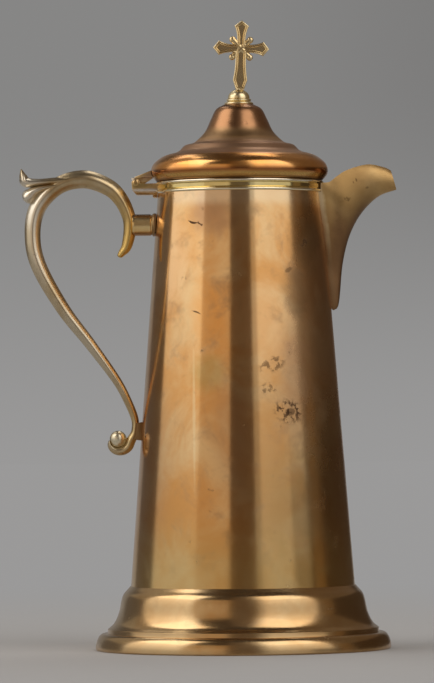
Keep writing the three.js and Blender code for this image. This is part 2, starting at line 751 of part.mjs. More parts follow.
// The bar from its blunt end under the strut, over the arch and down to the eye of the lower scroll.
// Thicknesses are shares of the thickness at the crown.
function handleLine() {
  const bar = scrollBar([
    [0.121, -0.155, 0.1, 1.4],
    [0.114, -0.15, 0.28, 3],
    [0.085, -0.133, 0.42, 4.4],
    [0.036, -0.1, 0.58],
    [0, -0.02, 0.7],
    [0.012, 0.2, 0.74],
    [0.089, 0.554, 0.83],
    [0.22, 0.826, 0.93],
    [0.463, 1, 1],
    [0.73, 0.864, 0.94],
    [0.94, 0.415, 0.94],
    [1, -0.042, 0.87],
    [0.944, -0.194, 0.86],
    [0.706, -0.403, 0.75],
    [0.431, -0.579, 0.62],
    [0.172, -0.755, 0.49],
    [0.049, -0.872, 0.44],
    [-0.003, -0.944, 0.41],
    [0, -0.99, 0.37],
  ]);
  const eyeX = lugX - knobInset;
  const eyeZ = lugZ - knobDrop;
  bar.push([eyeX + 0.93 * knobInset, eyeZ + 0.5 * knobDrop, 0.85 * scrollBand, barMinimumWidth]);
  for (let i = 0; i <= 6; i += 1) {
    const share = i / 6;
    const turn = THREE.MathUtils.degToRad(-10 - 162 * share);
    const band = scrollEnd + (scrollBand - scrollEnd) * (1 - share ** 2.5);
    const radius = knobRadius + band / 2 - 0.15;
    const width = barMinimumWidth - 2 * share;
    bar.push([eyeX + radius * Math.cos(turn), eyeZ + radius * Math.sin(turn), band, width]);
  }
  return bar;
}

// Handle: cast in one piece with the two leaf tips behind its crown and the ball in the scroll's eye.
function handlePiece() {
  const knob = new THREE.SphereGeometry(knobRadius, 18, 12);
  knob.translate(lugX - knobInset, 0, lugZ - knobDrop);
  const upperLeaf = scrollBar([
    [0.564, 0.996, 0.45, leafWidth],
    [0.767, 0.957, 0.45, leafWidth],
    [0.942, 0.938, 0.42, leafWidth],
    [1.06, 0.945, 0.58, leafWidth],
    [1.089, 1.058, 0.46, 0.8 * leafWidth],
    [1.104, 1.174, 0.2, 0.4 * leafWidth],
    [1.11, 1.233, 0.04, 0.08 * leafWidth],
  ]);
  const lowerLeaf = scrollBar([
    [0.712, 0.872, 0.42, leafWidth],
    [0.868, 0.82, 0.4, leafWidth],
    [0.968, 0.75, 0.56, leafWidth],
    [1.03, 0.645, 0.8, leafWidth],
    [1.073, 0.59, 0.6, 0.8 * leafWidth],
    [1.092, 0.566, 0.12, 0.2 * leafWidth],
  ]);
  const bar = solid(castBar(handleLine(), handleSteps)).add(solid(knob));
  return shape(bar.add(solid(castBar(upperLeaf, 13))).add(solid(castBar(lowerLeaf, 11))));
}

function grownBar() {
  return solid(castBar(handleLine(), handleSteps, fitGap));
}

function bodyEnvelope() {
  return solid(turned([
    [0, footHeight],
    [bodyBottomRadius + fitGap, footHeight],
    [bodyTopRadius + fitGap, bodyTopZ],
    [0, bodyTopZ],
  ]));
}

// Strut: round bar between the handle and the boss on the body.
function handleStrut() {
  const start = strutX;
  const end = -(bodyRadiusAt(strutZ) + bossThickness);
  const strut = new THREE.CylinderGeometry(strutRadius, strutRadius, end - start, 28);
  strut.rotateZ(Math.PI / 2).translate((start + end) / 2, 0, strutZ);
  return shape(solid(strut).subtract(grownBar()));
}

function strutBoss() {
  const outerX = -(bodyRadiusAt(strutZ) + bossThickness);
  const profile = [
    [0, -bossThickness],
    [bossRadius, -bossThickness],
    [bossRadius, 0.5 * bossThickness],
    [bossRadius - 0.5, bossThickness],
    [0, bossThickness],
  ];
  const boss = turned(profile, 28).rotateY(-Math.PI / 2);
  boss.translate(outerX + bossThickness, 0, strutZ);
  return shape(solid(boss).subtract(bodyEnvelope()));
}

// Where the bar's middle line first comes down to a height on its way to the lower scroll.
function barMiddleAt(z) {
  const line = handleLine();
  const next = line.findIndex((row) => row[1] < z);
  const [[beforeX, beforeZ], [afterX, afterZ]] = line.slice(next - 1, next + 1);
  return THREE.MathUtils.mapLinear(z, beforeZ, afterZ, beforeX, afterX);
}

// Lug: pad between the lower scroll and the body, from the bar's middle line inwards.
function lowerLug() {
  const half = lugHeight / 2;
  const sink = 3; // the pad starts inside the body, which then cuts it
  const inner = -bodyRadiusAt(lugZ) + sink;
  const outline = [0.75 * half, 0, -0.75 * half].map((rise) => [barMiddleAt(lugZ + rise), lugZ + rise]);
  outline.push([inner, lugZ - half], [inner, lugZ + half]);
  const pad = solid(slab(outline, lugWidth));
  return shape(pad.subtract(grownBar()).subtract(bodyEnvelope()));
}

// Spout sections: each has a keel point, a rim or root point, a half width and how far its sides curl in.
function spoutStations(steps) {
  const rootZ = bodyTopZ - spoutRootDrop;
  const tipX = bodyTopRadius + spoutProjection;
  const tipZ = mouthZ - spoutTipDrop;
  const keelX = bodyRadiusAt(rootZ) + spoutRootProud;
  const keel = [
    [-0.07, 0], [-0.012, 0.016], [0.014, 0.07], [0.032, 0.152], [0.076, 0.372],
    [0.179, 0.587], [0.337, 0.754], [0.541, 0.88], [0.745, 0.957], [1, 1],
  ];
  const keelLine = new THREE.SplineCurve(keel.map(([out, up]) => new THREE.Vector2(
    THREE.MathUtils.lerp(keelX, tipX, out),
    THREE.MathUtils.lerp(rootZ, tipZ, up),
  )));
  const sink = 3; // the root starts inside the body too
  const crownZ = mouthZ + spoutCrownRise;
  const lineAt = (share, z) => THREE.MathUtils.lerp(bodyTopRadius, tipX, share) - (z < mouthZ ? sink : 0);
  const rim = [
    [bodyRadiusAt(rootZ) - sink, rootZ + 2],
    [bodyRadiusAt(rootZ + 0.33 * spoutRootDrop) - sink, rootZ + 0.33 * spoutRootDrop],
    [bodyRadiusAt(rootZ + 0.66 * spoutRootDrop) - sink, rootZ + 0.66 * spoutRootDrop],
    [lineAt(0, bodyTopZ), mouthZ - 1.6],
    [lineAt(0.1, mouthZ), mouthZ + 0.16 * spoutCrownRise],
    [lineAt(0.2, mouthZ), mouthZ + 0.36 * spoutCrownRise],
    [lineAt(0.34, mouthZ), mouthZ + 0.68 * spoutCrownRise],
    [lineAt(0.61, mouthZ), crownZ],
    [lineAt(0.83, mouthZ), mouthZ + 0.8 * spoutCrownRise],
    [tipX - 0.35 * spoutMouthHeight, tipZ + 0.94 * spoutMouthHeight],
  ];
  const rimLine = new THREE.SplineCurve(rim.map(([x, z]) => new THREE.Vector2(x, z)));
  const wide = [
    [0.4 * spoutRootTipHalf, 0.5], [1.15 * spoutRootTipHalf, 0.5], [0.33 * spoutRootHalf, 0.5],
    [0.62 * spoutRootHalf, 0.5], [0.93 * spoutRootHalf, 0.5], [spoutRootHalf, 0.52],
    [0.8 * spoutRootHalf, 0.62], [0.58 * spoutRootHalf, 0.74], [spoutMouthHalf, 0.84],
  ];
  const widthLine = new THREE.SplineCurve(wide.map(([half, curl]) => new THREE.Vector2(half, curl)));
  const stations = [];
  for (let i = 0; i <= steps; i += 1) {
    const share = i / steps;
    const width = widthLine.getPoint(share);
    const station = { keel: keelLine.getPointAt(share), rim: rimLine.getPointAt(share) };
    stations.push({ ...station, half: width.x, curl: width.y * Math.PI });
  }
  return stations;
}

// Outline of one spout section as [distance from the keel towards the rim, side].
function spoutSection({ keel, rim, half, curl }, sides) {
  const depth = rim.distanceTo(keel);
  const points = [];
  for (let k = 0; k <= sides; k += 1) {
    const turn = curl * ((2 * k) / sides - 1);
    const side = Math.sign(turn) * half * Math.abs(Math.sin(turn)) ** 1.15;
    points.push([(depth * (1 - Math.cos(turn))) / (1 - Math.cos(curl)), side]);
  }
  return points;
}

function spoutRing(station, points) {
  const along = station.rim.clone().sub(station.keel).normalize();
  return points.map(([up, side]) => {
    const p = station.keel.clone().addScaledVector(along, up);
    return new THREE.Vector3(p.x, side, p.y);
  });
}

// Spout: beak of sheet, open along the top where its sides curl in, with a mouth cut across its end.
function spoutPiece() {
  const sides = 18;
  const stations = spoutStations(26);
  const outer = stations.map((s) => spoutRing(s, spoutSection(s, sides)));
  const inner = stations.slice(2).map((s) => {
    const line = offsetLine(spoutSection(s, sides), -spoutWall);
    const open = 4;
    const first = [line[0][0] + open, line[0][1]];
    const last = [line.at(-1)[0] + open, line.at(-1)[1]];
    return spoutRing(s, [first, ...line, last]);
  });
  const ahead = stations.at(-1).rim.clone().sub(stations.at(-1).keel).normalize();
  inner.push(inner.at(-1).map((p) => p.clone().add(new THREE.Vector3(4 * ahead.y, 0, -4 * ahead.x))));
  const ring = solid(turned([
    [0, bodyTopZ - fitGap],
    [collarRadius + fitGap, bodyTopZ - fitGap],
    [collarRadius + fitGap, mouthZ + solderClearance],
    [0, mouthZ + solderClearance],
  ]));
  const lid = solid(lidEnvelope(solderClearance).translate(0, 0, lidZ));
  const beak = solid(loft(outer)).subtract(solid(loft(inner)));
  return shape(beak.subtract(bodyEnvelope()).subtract(ring).subtract(lid));
}

// Assembly
const flagon = new THREE.Group();
const vessel = new THREE.Group();
const lid = new THREE.Group();
const finial = new THREE.Group();
lid.position.z = lidZ;
finial.position.z = lidHeight;
lid.add(finial);
flagon.add(vessel, lid);

function addPiece(group, name, geometry, finish, z = 0) {
  const piece = new THREE.Mesh(closed(geometry), new THREE.MeshStandardMaterial(finish));
  piece.name = name;
  piece.position.z = z;
  group.add(piece);
}

addPiece(vessel, 'foot_skirt', footSkirt(), bodyBrass);
addPiece(vessel, 'body_shell', bodyShell(), bodyBrass);
addPiece(vessel, 'body_floor', bodyFloor(), darkBrass);
addPiece(vessel, 'mouth_collar', mouthCollar(), paleBrass);
addPiece(vessel, 'spout', spoutPiece(), bodyBrass);
addPiece(vessel, 'handle', handlePiece(), handleBrass);
addPiece(vessel, 'handle_strut', handleStrut(), paleBrass);
addPiece(vessel, 'strut_boss', strutBoss(), paleBrass);
addPiece(vessel, 'lower_lug', lowerLug(), darkBrass);
addPiece(vessel, 'hinge_body_leaf', hingeBodyLeaf(), paleBrass);
addPiece(vessel, 'hinge_pin', hingePin(), paleBrass);
addPiece(lid, 'hinge_lid_leaf', hingeLidLeaf().translate(0, 0, -lidZ), paleBrass);
addPiece(lid, 'lid_shell', lidShell(), lidCopper);
addPiece(lid, 'lid_bezel', lidBezel(), darkBrass);
addPiece(finial, 'finial_knop', finialKnop(), paleBrass);
addPiece(finial, 'cross', crossPiece(), paleBrass, knopHeight + crossFootGap);
addPiece(finial, 'finial_washer', finialWasher(), darkBrass, -lidWall - washerThickness);
addPiece(finial, 'finial_nut', finialNut(), darkBrass, -lidWall - washerThickness - nutHeight);

// The origin is under the middle of the whole outline, from the leaf tip to the spout's tip.
flagon.updateMatrixWorld(true);
const outline = new THREE.Box3().setFromObject(flagon, true);
flagon.position.x = -(outline.min.x + outline.max.x) / 2;

export default flagon;
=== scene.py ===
"""Church flagon: its visible pieces and metals, the floor, the lights and the camera."""

from itertools import accumulate, pairwise, product
from math import atan2, copysign, cos, pi, radians, sin, tan

import bmesh
import bpy
from bmesh import ops
from bmesh.types import BMEdge, BMVert
from mathutils import Matrix, Vector


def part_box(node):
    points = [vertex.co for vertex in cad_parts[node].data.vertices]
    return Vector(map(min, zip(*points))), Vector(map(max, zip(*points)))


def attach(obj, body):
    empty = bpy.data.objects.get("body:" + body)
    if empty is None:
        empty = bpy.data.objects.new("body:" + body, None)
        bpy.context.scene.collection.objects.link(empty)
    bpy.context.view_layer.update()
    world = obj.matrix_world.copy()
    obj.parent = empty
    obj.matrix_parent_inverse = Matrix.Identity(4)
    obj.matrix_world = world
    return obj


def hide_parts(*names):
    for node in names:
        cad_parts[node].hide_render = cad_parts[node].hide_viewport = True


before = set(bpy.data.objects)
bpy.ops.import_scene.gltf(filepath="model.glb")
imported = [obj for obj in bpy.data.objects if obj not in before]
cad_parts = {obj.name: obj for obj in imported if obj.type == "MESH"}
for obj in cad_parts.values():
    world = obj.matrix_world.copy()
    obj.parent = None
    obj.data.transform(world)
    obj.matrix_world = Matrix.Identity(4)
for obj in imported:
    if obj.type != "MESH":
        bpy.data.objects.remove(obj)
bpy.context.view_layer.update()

MM = 0.001

# Places from the frame, in millimetres
BODY_LOW, BODY_HIGH = (Vector(corner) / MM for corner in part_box("body_shell"))
_, COLLAR_HIGH = (Vector(corner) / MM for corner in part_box("mouth_collar"))
LID_LOW, LID_HIGH = (Vector(corner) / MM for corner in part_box("lid_shell"))
_, FOOT_HIGH = (Vector(corner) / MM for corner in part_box("foot_skirt"))
PIN_LOW, PIN_HIGH = (Vector(corner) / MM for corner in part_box("hinge_pin"))
_, SPOUT_HIGH = (Vector(corner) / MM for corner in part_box("spout"))
CROSS_LOW, _ = (Vector(corner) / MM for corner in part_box("cross"))
KNOP_LOW, KNOP_HIGH = (Vector(corner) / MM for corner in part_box("finial_knop"))
STRUT_LOW, STRUT_HIGH = (Vector(corner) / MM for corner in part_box("handle_strut"))
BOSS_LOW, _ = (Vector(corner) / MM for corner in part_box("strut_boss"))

AXIS_X = (BODY_LOW.x + BODY_HIGH.x) / 2
FOOT_TOP, BODY_TOP, MOUTH_Z, LID_Z = FOOT_HIGH.z, BODY_HIGH.z, COLLAR_HIGH.z, LID_LOW.z
FOOT_RADIUS, BODY_BOTTOM_RADIUS, COLLAR_RADIUS, LID_RADIUS = FOOT_HIGH.y, BODY_HIGH.y, COLLAR_HIGH.y, LID_HIGH.y
COLLAR_PROUD = 1.3  # its beads stand out this far past the body
BODY_TOP_RADIUS = COLLAR_RADIUS - COLLAR_PROUD

# Sheet thicknesses and fits, in millimetres
BODY_WALL, FOOT_WALL, LID_WALL, SPOUT_WALL = 1.1, 1.6, 1.2, 1.1
FIT_GAP, SPOUT_CLEARANCE, BEZEL_CLEARANCE, SPIGOT_WALL = 0.3, 0.7, 0.4, 1
SPIGOT_RADIUS = BODY_TOP_RADIUS - BODY_WALL - FIT_GAP
BEZEL_RADIUS = SPIGOT_RADIUS - SPIGOT_WALL - BEZEL_CLEARANCE

ROUND_STEPS, FINE_STEPS = 192, 400
SHARP_ANGLE, FLAT_ANGLE = radians(32), radians(1)
BAR_SIDES, BAR_LEAST = 40, 0.05
BAR_RIDGE = 1.7  # above 1, a cast bar is rounder along its sides and keener along its front and back


def body_radius(z):
    """Outer radius of the body at a height."""
    rise = (z - FOOT_TOP) / (BODY_TOP - FOOT_TOP)
    return BODY_BOTTOM_RADIUS + (BODY_TOP_RADIUS - BODY_BOTTOM_RADIUS) * rise


# Lines


def smooth_line(points, steps):
    """Points along a smooth line through the given ones, whatever their number of coordinates."""
    points = [Vector(p) for p in points]
    ends = [2 * points[0] - points[1], *points, 2 * points[-1] - points[-2]]
    line = []
    for step in range(steps + 1):
        place = step / steps * (len(points) - 1)
        i = min(int(place), len(points) - 2)
        t = place - i
        a, b, c, d = ends[i : i + 4]
        line.append(0.5 * (2 * b + (c - a) * t + (2 * a - 5 * b + 4 * c - d) * t**2 + (3 * b - a - 3 * c + d) * t**3))
    return line


def even_line(points, steps):
    """The smooth line again, with its points evenly spaced along its length."""
    line = smooth_line(points, FINE_STEPS)
    lengths = [0.0, *accumulate((b - a).length for a, b in pairwise(line))]
    spaced = []
    i = 0
    for step in range(steps + 1):
        wanted = lengths[-1] * step / steps
        while i < FINE_STEPS - 1 and lengths[i + 1] < wanted:
            i += 1
        spaced.append(line[i].lerp(line[i + 1], (wanted - lengths[i]) / (lengths[i + 1] - lengths[i])))
    return spaced


def offset_line(line, distance):
    """An open flat line moved to its left by the distance."""
    moved = []
    for i, point in enumerate(line):
        along = (line[min(i + 1, len(line) - 1)] - line[max(i - 1, 0)]).normalized()
        moved.append(point + Vector((-along.y, along.x)) * distance)
    return moved


def bead(radius, proud, low, high, steps=12):
    """Half-round bead on a turned outline."""
    turns = [pi * step / steps for step in range(steps + 1)]
    return [(radius + proud * sin(t), low + (high - low) * (1 - cos(t)) / 2) for t in turns]


# Meshes


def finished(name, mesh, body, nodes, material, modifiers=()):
    """A piece of the object from a bmesh: its finish, the body that it rides on and the nodes that it replaces."""
    piece = linked(name, shaped(mesh, modifiers) if modifiers else mesh)
    piece.data.materials.append(material)
    soften(piece.data)
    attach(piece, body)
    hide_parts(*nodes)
    return piece


def added(name, data):
    """A new object in the scene."""
    thing = bpy.data.objects.new(name, data)
    bpy.context.collection.objects.link(thing)
    return thing


def linked(name, mesh):
    """A new object from a bmesh."""
    data = bpy.data.meshes.new(name)
    mesh.to_mesh(data)
    mesh.free()
    return added(name, data)


def shaped(mesh, modifiers):
    """The bmesh again, after modifiers given as (kind, settings)."""
    piece = linked("shape", mesh)
    for kind, settings in modifiers:
        modifier = piece.modifiers.new(kind.title(), kind)
        for key, value in settings.items():
            setattr(modifier, key, value)
    bpy.context.view_layer.update()
    graph = bpy.context.evaluated_depsgraph_get()
    result = bmesh.new()
    result.from_mesh(bpy.data.meshes.new_from_object(piece.evaluated_get(graph)))
    bpy.data.objects.remove(piece)
    return result


def soften(data):
    """Smooth shading with sharp edges where faces meet at more than the sharp angle."""
    mesh = bmesh.new()
    mesh.from_mesh(data)
    for face in mesh.faces:
        face.smooth = True
    for edge in mesh.edges:
        edge.smooth = edge.calc_face_angle(0) < SHARP_ANGLE
    mesh.to_mesh(data)
    mesh.free()


def turned(profile, closed=True, steps=ROUND_STEPS, axis_x=AXIS_X):
    """A bmesh turned about an upright axis, the vessel's by default, from a profile of (radius, height) in mm."""
    centre = Vector((axis_x * MM, 0, 0))
    mesh = bmesh.new()
    verts = [mesh.verts.new(centre + Vector((r, 0, z)) * MM) for r, z in profile]
    pairs = list(pairwise(verts))
    if closed:
        pairs.append((verts[-1], verts[0]))
    edges = [mesh.edges.new(pair) for pair in pairs]
    ops.spin(
        mesh, geom=verts + edges, cent=centre, axis=(0, 0, 1), dvec=(0, 0, 0), angle=2 * pi,
        steps=steps, use_merge=True, use_duplicate=False,
    )
    ops.remove_doubles(mesh, verts=mesh.verts, dist=1e-7)
    ops.recalc_face_normals(mesh, faces=mesh.faces)
    return mesh


def picked(geom, kind):
    """The vertices or the edges among what an operator returns."""
    return [g for g in geom if isinstance(g, kind)]


def placed(x, y, z):
    """A move to a place in millimetres."""
    return Matrix.Translation(Vector((x, y, z)) * MM)


def swept(rows, steps):
    """A bmesh of a cast bar along a smooth line through rows of (x, z, thickness, width) in millimetres."""
    places = smooth_line([(x, 0, z) for x, z, _, _ in rows], steps)
    sizes = smooth_line([(thickness, width) for _, _, thickness, width in rows], steps)
    mesh = bmesh.new()
    ring = ops.create_circle(mesh, cap_ends=True, segments=BAR_SIDES, radius=1)["verts"]
    for vert in ring:
        vert.co.y = copysign(abs(vert.co.y) ** BAR_RIDGE, vert.co.y)
    side = Vector((0, 1, 0))
    frames = []
    for i, (place, size) in enumerate(zip(places, sizes)):
        along = (places[min(i + 1, steps)] - places[max(i - 1, 0)]).normalized()
        columns = (along.cross(side) * max(size.x, BAR_LEAST) / 2, side * max(size.y, BAR_LEAST) / 2, along)
        turn = Matrix([tuple(c) for c in columns]).transposed().to_4x4()
        frames.append(Matrix.Scale(MM, 4) @ Matrix.Translation(place) @ turn)
    ops.transform(mesh, matrix=frames[0], verts=ring)
    edges = [e for e in mesh.edges if e.verts[0] in ring and e.verts[1] in ring]
    for before, after in pairwise(frames):
        grown = ops.extrude_edge_only(mesh, edges=edges)["geom"]
        edges = picked(grown, BMEdge)
        ops.transform(mesh, matrix=after @ before.inverted(), verts=picked(grown, BMVert))
    ops.edgeloop_fill(mesh, edges=edges)
    ops.recalc_face_normals(mesh, faces=mesh.faces)
    return mesh


def from_node(node):
    """A merged copy of a node's mesh, with its flat faces whole."""
    mesh = bmesh.new()
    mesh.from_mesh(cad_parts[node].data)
    ops.remove_doubles(mesh, verts=mesh.verts, dist=2e-6)
    ops.dissolve_limit(mesh, angle_limit=FLAT_ANGLE, verts=mesh.verts, edges=mesh.edges)
    return mesh


def eased(width, segments=3, degrees=30):
    """Settings of a bevel that eases every edge sharper than the angle."""
    limit = radians(degrees)
    return ("BEVEL", {"width": width * MM, "segments": segments, "limit_method": "ANGLE", "angle_limit": limit})


def booleans(operation, *shapes):
    """Settings of the booleans between a piece and hidden shapes."""
    return [("BOOLEAN", {"operation": operation, "object": shape, "solver": "EXACT"}) for shape in shapes]


def discard(*shapes):
    for shape in shapes:
        bpy.data.objects.remove(shape)


def joined(*meshes):
    """One bmesh of several."""
    whole = bmesh.new()
    for mesh in meshes:
        data = bpy.data.meshes.new("part")
        mesh.to_mesh(data)
        mesh.free()
        whole.from_mesh(data)
        bpy.data.meshes.remove(data)
    return whole


def slab(outline, width, axis="Y"):
    """A bmesh of an upright outline in millimetres, thickened evenly to both sides along Y, or along X from zero."""
    mesh = bmesh.new()
    if axis == "Y":
        corners, along = [(x, -width / 2, z) for x, z in outline], (0, width * MM, 0)
    else:
        corners, along = [(0, y, z) for y, z in outline], (width * MM, 0, 0)
    face = mesh.faces.new([mesh.verts.new(Vector(c) * MM) for c in corners])
    grown = ops.extrude_face_region(mesh, geom=[face])["geom"]
    ops.translate(mesh, vec=along, verts=picked(grown, BMVert))
    ops.recalc_face_normals(mesh, faces=mesh.faces)
    return mesh


def add_cylinder(mesh, radius, length, place, segments=24):
    """Adds a capped cylinder, in millimetres and along Z before it is placed."""
    wide = radius * MM
    ops.create_cone(
        mesh, cap_ends=True, segments=segments, radius1=wide, radius2=wide, depth=length * MM, matrix=place
    )


# Metals


class Signal:
    """An output of a shader node. Arithmetic on it adds Math nodes."""

    def __init__(self, tree, output):
        self.tree = tree
        self.output = output

    def math(self, operation, *values):
        return add_node(self.tree, "Math", dict(enumerate((self, *values))), operation=operation)

    def __add__(self, other):
        return self.math("ADD", other)

    __radd__ = __add__

    def __mul__(self, other):
        return self.math("MULTIPLY", other)

    __rmul__ = __mul__

    def __sub__(self, other):
        return self.math("SUBTRACT", other)

    def __rsub__(self, other):
        return self * -1 + other

    def over(self, low, high):
        """0 below low, 1 above high, and smooth between them."""
        inputs = {"Value": self, "From Min": low, "From Max": high}
        return add_node(self.tree, "MapRange", inputs, interpolation_type="SMOOTHSTEP")


def add_node(tree, kind, inputs=(), output=0, **settings):
    """Adds one shader node: its settings first, then the values and links of its sockets."""
    node = tree.nodes.new("ShaderNode" + kind)
    for key, value in settings.items():
        setattr(node, key, value)
    for key, value in dict(inputs).items():
        if isinstance(value, Signal):
            tree.links.new(value.output, node.inputs[key])
        else:
            if hasattr(value, "__len__") and len(value) == 3 and node.inputs[key].type == "RGBA":
                value = (*value, 1)
            node.inputs[key].default_value = value
    return Signal(tree, node.outputs[output]) if node.outputs else None


def new_tree(name):
    material = bpy.data.materials.new(name)
    material.use_nodes = True
    material.node_tree.nodes.clear()
    return material, material.node_tree


def coordinates(tree, scale=(1, 1, 1), turn=(0, 0, 0), centre=(0, 0, 0)):
    """Object coordinates from a centre in millimetres, turned and stretched."""
    place = add_node(tree, "TexCoord", output="Object")
    moved = add_node(tree, "VectorMath", {0: place, 1: Vector(centre) * MM}, operation="SUBTRACT")
    return add_node(tree, "Mapping", {"Vector": moved, "Rotation": turn, "Scale": scale})


def noise(tree, where, scale, detail, roughness=0.55, distortion=0.0):
    inputs = {"Vector": where, "Scale": scale, "Detail": detail, "Roughness": roughness, "Distortion": distortion}
    return add_node(tree, "TexNoise", inputs)


def mixed(tree, factor, first, second):
    """Two colours mixed by a factor."""
    return add_node(tree, "Mix", {0: factor, 6: first, 7: second}, 2, data_type="RGBA")


def axes(tree, where):
    return [add_node(tree, "SeparateXYZ", {0: where}, axis) for axis in "XYZ"]


def stain_and_light_mask(tree, ragged, middle, height, wide, high, slant=0.0, bend=0.0, speckled=False, soft=0.25, through=False):
    """Mask of one stain, patch of tone, painted highlight or painted shade, on the front or right through:
    its centre and half sizes in mm, slant and curve.
    """
    x, y, z = axes(tree, coordinates(tree, (1, 1, 1), (0, slant, 0), (middle + AXIS_X, 0, height)))
    across = x * (1 / (wide * MM))
    up = z * (1 / (high * MM)) + across * across * bend - bend / 3
    distance = (across * across + up * up).math("SQRT")
    mask = 1 - (distance + ragged * 1.6 - 0.8).over(1 - soft, 1 + soft)
    if not through:
        mask = mask * (y * -1).over(0, 0.002)
    return mask * ragged.over(0.5, 0.57) if speckled else mask


def zone(tree, low, high, soft):
    """Mask of a band between two heights in millimetres."""
    height = axes(tree, coordinates(tree))[2]
    above = height.over((low - soft) * MM, (low + soft) * MM)
    return above * (1 - height.over((high - soft) * MM, (high + soft) * MM))


STAIN_BROWN, KEEL_PAINTED_SHADE = (0.07, 0.035, 0.02), (0.13, 0.07, 0.035)
BLOTCH_SCALE = 26.0
KEEL_SHADE_END_X, KEEL_SHADE_END_Z = (0.083, 0.098), (0.257, 0.266)  # where the painted shade along the spout's keel fades out, in metres


def brass(name, pale, warm, dull, polish=0.2, tarnish=0.25, grain=14, relief=0.04,
          marks=(), zones=(), patches=(), keel=0.0):
    """Worn brass: patches of pale, warm and dull metal, small spots, fine scratches, placed stains, and placed patches
    and zones of tone, some of them painted highlights, reflections and shade.

    Polish is its least roughness, grain how much finer its scratches are along Z than across, and keel half the width
    of the painted shade along the spout's keel, in metres.
    """
    material, tree = new_tree(f"{name}_brass")
    where = coordinates(tree)
    blotches = noise(tree, where, BLOTCH_SCALE, 5, 0.6, 0.6)
    cloud = noise(tree, where, BLOTCH_SCALE * 2.7, 6, 0.62, 0.3)
    fine = noise(tree, where, 420, 5, 0.6)
    ragged = noise(tree, where, 310, 5, 0.65)
    brushed = noise(tree, coordinates(tree, (1, 1, grain)), 260, 3, 0.6)
    colour = mixed(tree, blotches.over(0.36, 0.64), pale, warm)
    dulled = cloud.over(0.5, 0.78) * tarnish
    rough = polish + fine * 0.04 + dulled * 0.2 + brushed * 0.04
    # placed patches: the metal's own tone, and painted highlights and shade where the tables give them
    for middle, height, wide, high, tone, strength, *form in patches:
        slant, dulling = (*form, 0, 0)[:2]
        mask = stain_and_light_mask(tree, cloud, middle, height, wide, high, slant, soft=0.6, through=True)
        colour = mixed(tree, mask * strength, colour, tone)
        rough = rough + mask * dulling
    # painted shade: the spout's colour darkens towards its keel
    if keel:
        x, y, z = axes(tree, where)
        shade = 1 - (y * y).math("SQRT").over(0.3 * keel, keel)
        shade = shade * (1 - x.over(*KEEL_SHADE_END_X)) * (1 - z.over(*KEEL_SHADE_END_Z))
        colour = mixed(tree, shade * 0.9, colour, KEEL_PAINTED_SHADE)
    colour = mixed(tree, dulled, colour, dull)
    # bands of tone, and painted highlights, reflections and shade where the tables give them
    for low, high, soft, tone, strength, dulling in zones:
        band = zone(tree, low, high, soft)
        colour = mixed(tree, band * strength, colour, tone)
        rough = rough + band * dulling
    speck = noise(tree, where, 150, 2, 0.5).over(0.7, 0.78) * fine.over(0.42, 0.6)
    colour = mixed(tree, speck * 0.5, colour, tuple(c * 0.35 for c in dull))
    rough = rough + speck * 0.2
    for middle, height, wide, high, strength, *form in marks:
        dark = stain_and_light_mask(tree, ragged, middle, height, wide, high, *form) * strength
        colour = mixed(tree, dark, colour, STAIN_BROWN)
        rough = rough + dark * 0.3
    height = brushed * 0.35 + fine * 0.2 + cloud * 0.8
    bump = add_node(tree, "Bump", {"Strength": relief, "Distance": 0.0004, "Height": height})
    inputs = {"Base Color": colour, "Metallic": 1.0, "Roughness": rough, "Normal": bump}
    add_node(tree, "OutputMaterial", {"Surface": add_node(tree, "BsdfPrincipled", inputs)})
    return material


# Stains seen on the metal: centre in millimetres from the vessel's axis and the floor, half width and half height,
# strength, then slant, curve and whether it is a cluster of specks, where it has them
BODY_MARKS = [
    (-25.9, 236.1, 2.9, 0.6, 0.95, -0.22, -1.6), (-22.5, 235.3, 0.9, 0.4, 0.8, -0.6),
    (-21.2, 234.5, 0.7, 0.6, 0.7, -0.5), (-24.3, 186.5, 2.3, 0.45, 0.75, -0.4, 0.4),
    (25.3, 131.8, 8.5, 6.8, 0.85, -0.4, 0.0, True), (26.4, 131.4, 2.6, 2.0, 0.6, 0.2),
    (17.0, 157.5, 8.0, 4.5, 0.6, 0.4, 0.0, True), (14.8, 144.5, 6.0, 3.5, 0.5, 0.3, 0.0, True),
    (35.0, 224.4, 2.6, 2.8, 0.7, 0.0, 0.0, True), (26.2, 209.4, 2.2, 1.2, 0.4, 0.6),
    (-31.0, 205.0, 1.6, 2.0, 0.3, 0.0, 0.0, True),
]
# Bands of tone between two heights: lowest, highest, softness, tone, strength and how much duller they are
BODY_ZONES = [(-10, 62, 22, (0.62, 0.45, 0.16), 0.45, 0.05), (BODY_TOP - 7, BODY_TOP + 9, 3, (0.9, 0.74, 0.5), 0.4, 0)]
